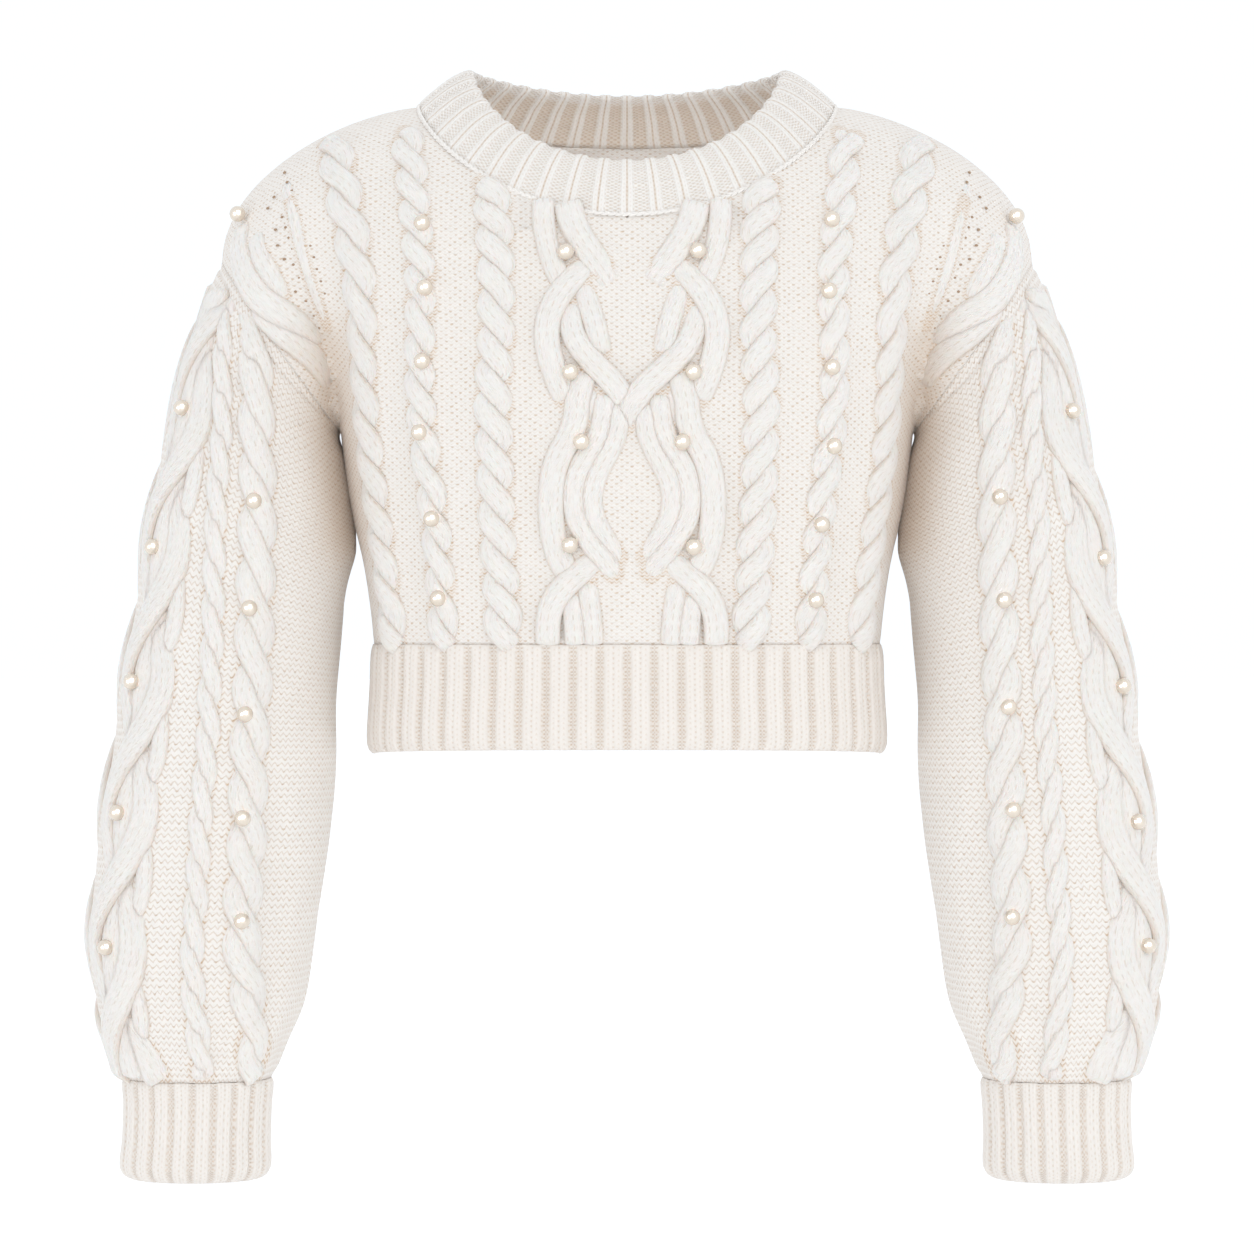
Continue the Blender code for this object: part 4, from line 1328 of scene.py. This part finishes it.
def bodyRing(height, grow, angles):
    swing, turn = np.sin(angles), np.cos(angles)
    power = 2 / bodyForm["torsoPower"]
    width = torso(1, height) + grow
    depth = np.where(swing > 0, torso(2, height), torso(3, height)) + grow
    x = width * np.sign(turn) * np.abs(turn) ** power
    y = -depth * np.sign(swing) * np.abs(swing) ** power
    sweep = hemForm["sweep"]
    z = height + sweep["rise"] * (sweep["top"] - height) / sweep["deep"] * np.abs(swing) ** power
    return np.stack([x, y, z], axis=-1)


def refine(profile, step):
    rows = np.array(profile, float)
    length = np.concatenate([[0], np.cumsum(np.hypot(np.diff(rows[:, 0]), np.diff(rows[:, 1])))])
    spans = zip(length[:-1], length[1:])
    at = [np.linspace(a, b, max(1, round((b - a) / step)), endpoint=False) for a, b in spans]
    at = np.append(np.concatenate(at), length[-1])
    return np.stack([np.interp(at, length, rows[:, k]) for k in range(rows.shape[1])], axis=1), at


def makeHem():
    form = hemForm
    count = form["ribs"] * form["perRib"]
    angles = evenAngles(lambda a: bodyRing(form["evenHeight"], 0, a), count, math.pi / 2)
    profile, at = refine(form["profile"], form["rowStep"])
    rings = np.array([bodyRing(height, grow, angles) for height, grow, _ in profile])
    ribs = np.arange(count) / form["perRib"]
    return makeBand("hem_rib", rings, ribs, -at, profile[:, 2], form, hemWool)


hem = makeHem()
print("hem made:", len(hem.data.polygons))

cuffForm = {
    "sections": (
        (311.2, -598.3, 217.9, -598.3, 41.0, 40.0, -16.0),
        (309.3, -612.0, 220.1, -612.0, 38.0, 38.0, -16.0),
        (309.8, -635.0, 221.0, -635.0, 37.5, 37.5, -16.5),
        (311.3, -652.0, 220.7, -652.0, 38.5, 38.5, -17.0),
        (307.5, -660.0, 224.5, -660.0, 36.5, 36.5, -17.0),
    ),
    "ribs": 20,
    "perRib": 14,
    "ribHeight": 2.7,
    "rowStep": 2.6,
    "sectionStep": 15.4,  # millimetres from one section to the next
    "evenPlace": 2.0,  # where the ribs are evenly wide
    "profile": (  # place down the cuff, how far it stands out, share of the ribs' height
        (0.0, -1.5, 0.1), (0.06, -1.1, 0.3), (0.2, -0.6, 0.7), (0.6, -0.2, 1), (1.2, -0.1, 1),
        (1.7, -0.1, 1), (2.2, -0.1, 1), (2.7, -0.1, 1), (3.1, -0.2, 1), (3.5, -0.5, 0.9),
        (3.8, -1.3, 0.5), (3.96, -2.5, 0.15), (4.0, -3.8, 0.05), (3.94, -5.2, 0.1), (3.6, -6.0, 0.4),
        (3.0, -5.2, 0.5), (2.0, -5.2, 0.5), (1.0, -5.2, 0.4), (0.4, -5.2, 0.2), (0.02, -5.0, 0.0),
    ),
}


def cuffRing(at, grow, angles):
    values = [sectionValue(at, k, cuffForm["sections"]) for k in range(7)]
    middleX, halfX = (values[0] + values[2]) / 2, (values[0] - values[2]) / 2 + grow
    swing = np.sin(angles)
    depth = np.where(swing > 0, values[4], values[5]) + grow
    x, y = middleX + halfX * np.cos(angles), values[6] - depth * swing
    return np.stack([x, y, np.full_like(angles, values[1])], axis=-1)


def makeCuff(hand, word):
    form = cuffForm
    count = form["ribs"] * form["perRib"]
    angles = evenAngles(lambda a: cuffRing(form["evenPlace"], 0, a), count, math.pi / 2)
    rows = np.array(form["profile"], float)
    rows[:, 0] *= form["sectionStep"]
    profile, at = refine(rows, form["rowStep"])
    profile[:, 0] /= form["sectionStep"]
    rings = np.array([cuffRing(place, grow, angles) for place, grow, _ in profile]) * [hand, 1, 1]
    ribs = np.arange(count) / form["perRib"]
    return makeBand("cuff_" + word, rings, ribs, -at, profile[:, 2], form, cuffWool)


cuffs = {word: makeCuff(hand, word) for hand, word in ((-1, "right"), (1, "left"))}
print("cuffs made")

neckForm = {
    "ribs": 42,
    "perRib": 14,
    "ribHeight": 1.5,
    "groove": 0.45,
    "crest": 0.56,
    "rowStep": 2.6,
    "height": 45,
    "seamGap": 0.3,
    "topHalfWidth": 97.0,
    "topHeight": 26.0,
    front: {"depth": 85.0, "drop": 64.0, "power": 1.25},
    back: {"depth": 66.0, "drop": 9.0, "power": 2.4},
    "profile": (  # share of the way up, how far it bows out, how far in, share of the ribs' height
        (0.0, 0.0, 2.4, 0.0), (0.02, 0.3, 1.4, 0.4), (0.07, 0.8, 1.0, 0.9), (0.15, 1.3, 1.0, 1),
        (0.3, 2.0, 1.0, 1), (0.45, 2.5, 1.0, 1), (0.6, 2.8, 1.0, 1), (0.75, 2.4, 1.0, 1),
        (0.88, 1.6, 1.1, 1), (0.95, 1.0, 1.5, 0.9), (0.985, 0.4, 2.3, 0.8), (1.0, 0.0, 3.4, 0.7),
        (0.985, 0.0, 4.6, 0.8), (0.94, 0.4, 5.4, 1.2), (0.85, 1.6, 5.8, 1.6), (0.6, 2.8, 5.8, 1.7),
        (0.3, 2.0, 5.8, 1.5), (0.1, 0.8, 5.8, 0.6), (0.02, 0.1, 5.2, 0.0),
    ),
}


def neckLines(angles):
    swing = np.sin(angles)
    side = np.where(swing >= 0, front, back)
    seam, top = np.zeros((len(angles), 3)), np.zeros((len(angles), 3))
    for face in (front, back):
        chosen = side == face
        quarter = np.arcsin(np.clip(np.abs(swing[chosen]), 0, 1))
        hand = np.where(np.cos(angles[chosen]) >= 0, 1, -1)
        x, z = neckSeam(quarter, face)
        seam[chosen] = np.stack([hand * x, face * bodyDepth(x, z, face), z], axis=1)
        form, lift = neckForm[face], np.sin(quarter)
        x, y = hand * neckForm["topHalfWidth"] * np.cos(quarter), face * form["depth"] * lift
        top[chosen] = np.stack([x, y, neckForm["topHeight"] - form["drop"] * lift ** form["power"]], axis=1)
    return seam, top


def makeNeckband():
    form = neckForm
    count = form["ribs"] * form["perRib"]
    angles = evenAngles(lambda a: np.mean(neckLines(a), axis=0), count, math.pi / 2)
    seam, top = neckLines(angles)
    up = unit(top - seam)
    rim = neckRim(seam)
    middle = (seam + top) / 2
    inside = unit(np.stack([-middle[:, 0], -middle[:, 1], np.zeros(count)], axis=1))
    own = unit(inside - up * (inside * up).sum(axis=-1, keepdims=True))
    rows = np.array(form["profile"], float)
    rows[:, 0] *= form["height"]
    profile, at = refine(rows[:, [0, 2, 1, 3]], form["rowStep"])
    rings = []
    for share, inset, bow, _ in profile:
        share = share / form["height"]
        direction = unit(rim + (own - rim) * min(1, share * 3))
        rings.append(seam + (top - seam) * share - own * bow + direction * inset + up * form["seamGap"])
    ribs = np.arange(count) / form["perRib"] + 0.5
    return makeBand("neckband", np.array(rings), ribs, at, profile[:, 3], form, neckWool)


neckband = makeNeckband()
print("neckband made:", len(neckband.data.polygons))

# small stitches: the chain that links the neckband on, and eyelets on the shoulders as dark beads of painted
# shade

chainForm = {
    "step": 4.2,
    "length": 2.7,
    "halfWidth": 0.8,
    "lean": 0.24,
    "apart": 2.2,
    "stand": 0.15,
    "shoulderSink": 1.1,
}


def setStitches(desk, given):
    along, outward = desk.stored("along", "FLOAT_VECTOR"), desk.stored("outward", "FLOAT_VECTOR")
    axes = {"Primary Axis": outward, "Secondary Axis": along}
    turn = desk.add("FunctionNodeAxesToRotation", {"primary_axis": "Z", "secondary_axis": "X"}, axes)
    bead = desk.add("GeometryNodeMeshUVSphere", {}, {"Segments": 12, "Rings": 8, "Radius": 1.0})
    places = {"Points": given.out("Geometry"), "Instance": bead, "Rotation": turn, "Scale": given.out("Size")}
    return desk.add("GeometryNodeInstanceOnPoints", {}, places)


repeatTree = makeTree("repeatedStitches", {"Size": "Vector"}, setStitches)


def repeatStitch(name, points, along, outward, size, wool):
    carrier = bpy.data.meshes.new(name)
    carrier.from_pydata((points * mm).tolist(), [], [])
    setAttribute(carrier, "along", along, "FLOAT_VECTOR")
    setAttribute(carrier, "outward", outward, "FLOAT_VECTOR")
    obj = showMesh(name, carrier)
    runNodes(obj, repeatTree, {"Size": Vector(size) * mm, "Finish": wool})
    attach(obj, "root")
    return obj


def makeChain():
    form = chainForm
    seam, _ = neckLines(np.linspace(0, 2 * math.pi, 3001)[:-1])
    outward = -neckRim(seam) * 0.6 + unit(seam * [1, 1, 0]) * 0.6
    length = runLength(seam)
    at = np.arange(0, length[-1], form["step"] / 2)
    line, face = (
        np.stack([np.interp(at, length, column) for column in values.T], axis=1) for values in (seam, outward)
    )
    along = unit(np.gradient(line, axis=0))
    face = unit(face)
    face = unit(face - along * (face * along).sum(axis=1, keepdims=True))
    across = np.cross(along, face)
    lean = np.where(np.arange(len(at)) % 2 == 0, 1, -1)[:, None] * form["lean"]
    stand = form["stand"] - form["shoulderSink"] * np.clip(line[:, 2:] / 20 + 1, 0, 1) ** 2
    points = line + face * stand + across * lean * form["apart"]
    size = (form["length"], form["halfWidth"], form["halfWidth"])
    return repeatStitch("neckband_linking_chain", points, unit(along + across * lean), face, size, plainWool)


# each eyelet is a dark bead sunk in the cloth: painted shadow where the eyelet's hole is
eyeletForm = {"size": (1.15, 0.8, 0.7), "sink": 0.45, "shade": (0.40, 0.28, 0.19, 1.0)}


def makeEyelets():
    points, along, outward = [], [], []
    for side in (front, back):
        chart = bodyChart(side)
        for hand in (-1, 1):
            x, z = np.array(shoulderBands["eyelets"], float).T
            place, out = chart(hand * x, z)
            points.append(place - out * eyeletForm["sink"])
            outward.append(out)
            along.append(np.tile([1.0, 0.0, 0.0], (len(x), 1)))
    points, along, outward = (np.concatenate(values) for values in (points, along, outward))
    return repeatStitch("shoulder_eyelets", points, along, outward, eyeletForm["size"], makeEyeletShadowWool())


# the eyelet beads' dark colour is painted shadow in the holes
def makeEyeletShadowWool():
    material, desk = materialDesk("wool_shade")
    finishShader(desk, {"Base Color": eyeletForm["shade"], "Roughness": 1.0, "Specular IOR Level": 0.0})
    return material


chain, eyelets = makeChain(), makeEyelets()
print("chain and eyelets made:", len(chain.data.polygons), len(eyelets.data.polygons))

# pearls

pearlForm = {
    "radius": 5.0,
    "segments": 32,
    "rings": 20,
    "deep": (0.68, 0.58, 0.47, 1.0),
    "pale": (0.75, 0.66, 0.56, 1.0),
}


def makePearlFinish():
    material, desk = materialDesk("pearl_cream")
    cloud = desk.noise(desk.objectPlace(), 160.0, 2.0)
    finishShader(
        desk,
        {
            "Base Color": blendColours(desk, cloud, pearlForm["deep"], pearlForm["pale"]),
            "Roughness": 0.22 + 0.06 * cloud,
            "Metallic": 0.35,
            "Coat Weight": 1.0,
            "Coat Roughness": 0.12,
            "Coat IOR": 1.6,
        },
    )
    return material


def setPearls(desk, given):
    ball = {"Segments": pearlForm["segments"], "Rings": pearlForm["rings"], "Radius": given.out("Radius")}
    bead = desk.add("GeometryNodeMeshUVSphere", {}, ball)
    return desk.add("GeometryNodeInstanceOnPoints", {}, {"Points": given.out("Geometry"), "Instance": bead})


def makePearls():
    nodes = sorted(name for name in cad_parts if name.startswith("pearl_"))
    centres = []
    for name in nodes:
        low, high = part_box(name)
        centres.append([(a + b) / 2 for a, b in zip(low, high)])
    carrier = bpy.data.meshes.new("pearls")
    carrier.from_pydata(centres, [], [])
    obj = showMesh("pearls", carrier)
    tree = makeTree("sewnPearls", {"Radius": "Float"}, setPearls)
    runNodes(obj, tree, {"Radius": pearlForm["radius"] * mm, "Finish": makePearlFinish()})
    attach(obj, "root")
    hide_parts(*nodes)
    return obj


pearls = makePearls()
print("pearls made:", len(pearls.data.polygons))

# floor, light and camera

studio = {
    "floorHeight": -0.78,
    "floorHalf": 40,
    "sky": (1.0, 1.045, 1.09, 1.0),
    "paper": (0.9, 0.9, 0.9, 1.0),
    "backLift": 0.14,
    "cameraAway": 3.0,
    "cameraHeight": -0.3205,
    "viewWidth": 0.77748,  # how much of the object's plane the camera sees
    "lights": (  # name, place, aim, size, power, whether it only makes gloss
        ("key_light", (1.2, -2.6, 1.6), (0, 0, -0.3), (1.2, 1.2), 8, False),
        ("neck_light", (0, -0.01, -0.07), (0, 0.10, 0.02), (0.2, 0.05), 0.05, False),
        ("gloss_right", (0.75, -3.2, 0.9), (0, 0, -0.3), (2.4, 2.4), 400, True),
        ("gloss_left", (-2.1, -2.3, -0.6), (0, 0, -0.3), (1.3, 1.9), 230, True),
    ),
}

half, height = studio["floorHalf"], studio["floorHeight"]
corners = [(x * half, y * half, height) for x, y in ((-1, -1), (1, -1), (1, 1), (-1, 1))]
floorMesh = bpy.data.meshes.new("studio_floor")
floorMesh.from_pydata(corners, [], [(0, 1, 2, 3)])
showMesh("studio_floor", floorMesh)
paper, desk = materialDesk("studio_paper")
glow = {"Emission Color": (1.0, 1.0, 1.0, 1.0), "Emission Strength": studio["backLift"]}
finishShader(desk, {"Base Color": studio["paper"], "Roughness": 0.9, **glow})
floorMesh.materials.append(paper)

world = bpy.data.worlds.new("studio_world")
world.use_nodes = True
world.node_tree.nodes.clear()
desk = Desk(world.node_tree)
sky = desk.add("ShaderNodeBackground", {}, {"Color": studio["sky"], "Strength": 1.0})
desk.add("ShaderNodeOutputWorld", {}, {"Surface": sky})
bpy.context.scene.world = world


def areaLight(name, place, aim, size, power, forGloss):
    data = bpy.data.lights.new(name, "AREA")
    data.shape, data.size, data.size_y, data.energy = "RECTANGLE", size[0], size[1], power
    obj = bpy.data.objects.new(name, data)
    obj.location = place
    obj.rotation_euler = (Vector(aim) - Vector(place)).to_track_quat("-Z", "Y").to_euler()
    obj.visible_diffuse = not forGloss
    obj.visible_camera = False
    bpy.context.scene.collection.objects.link(obj)
    return obj


for light in studio["lights"]:
    areaLight(*light)

camera = bpy.data.objects.new("camera", bpy.data.cameras.new("camera"))
camera.location = (0.0, -studio["cameraAway"], studio["cameraHeight"])
camera.rotation_euler = (math.pi / 2, 0, 0)
camera.data.sensor_width = 36.0
camera.data.lens = 36.0 * studio["cameraAway"] / studio["viewWidth"]
camera.data.clip_end = 100.0
bpy.context.scene.collection.objects.link(camera)
bpy.context.scene.camera = camera
bpy.context.scene.view_settings.view_transform = "Standard"

bpy.context.view_layer.update()
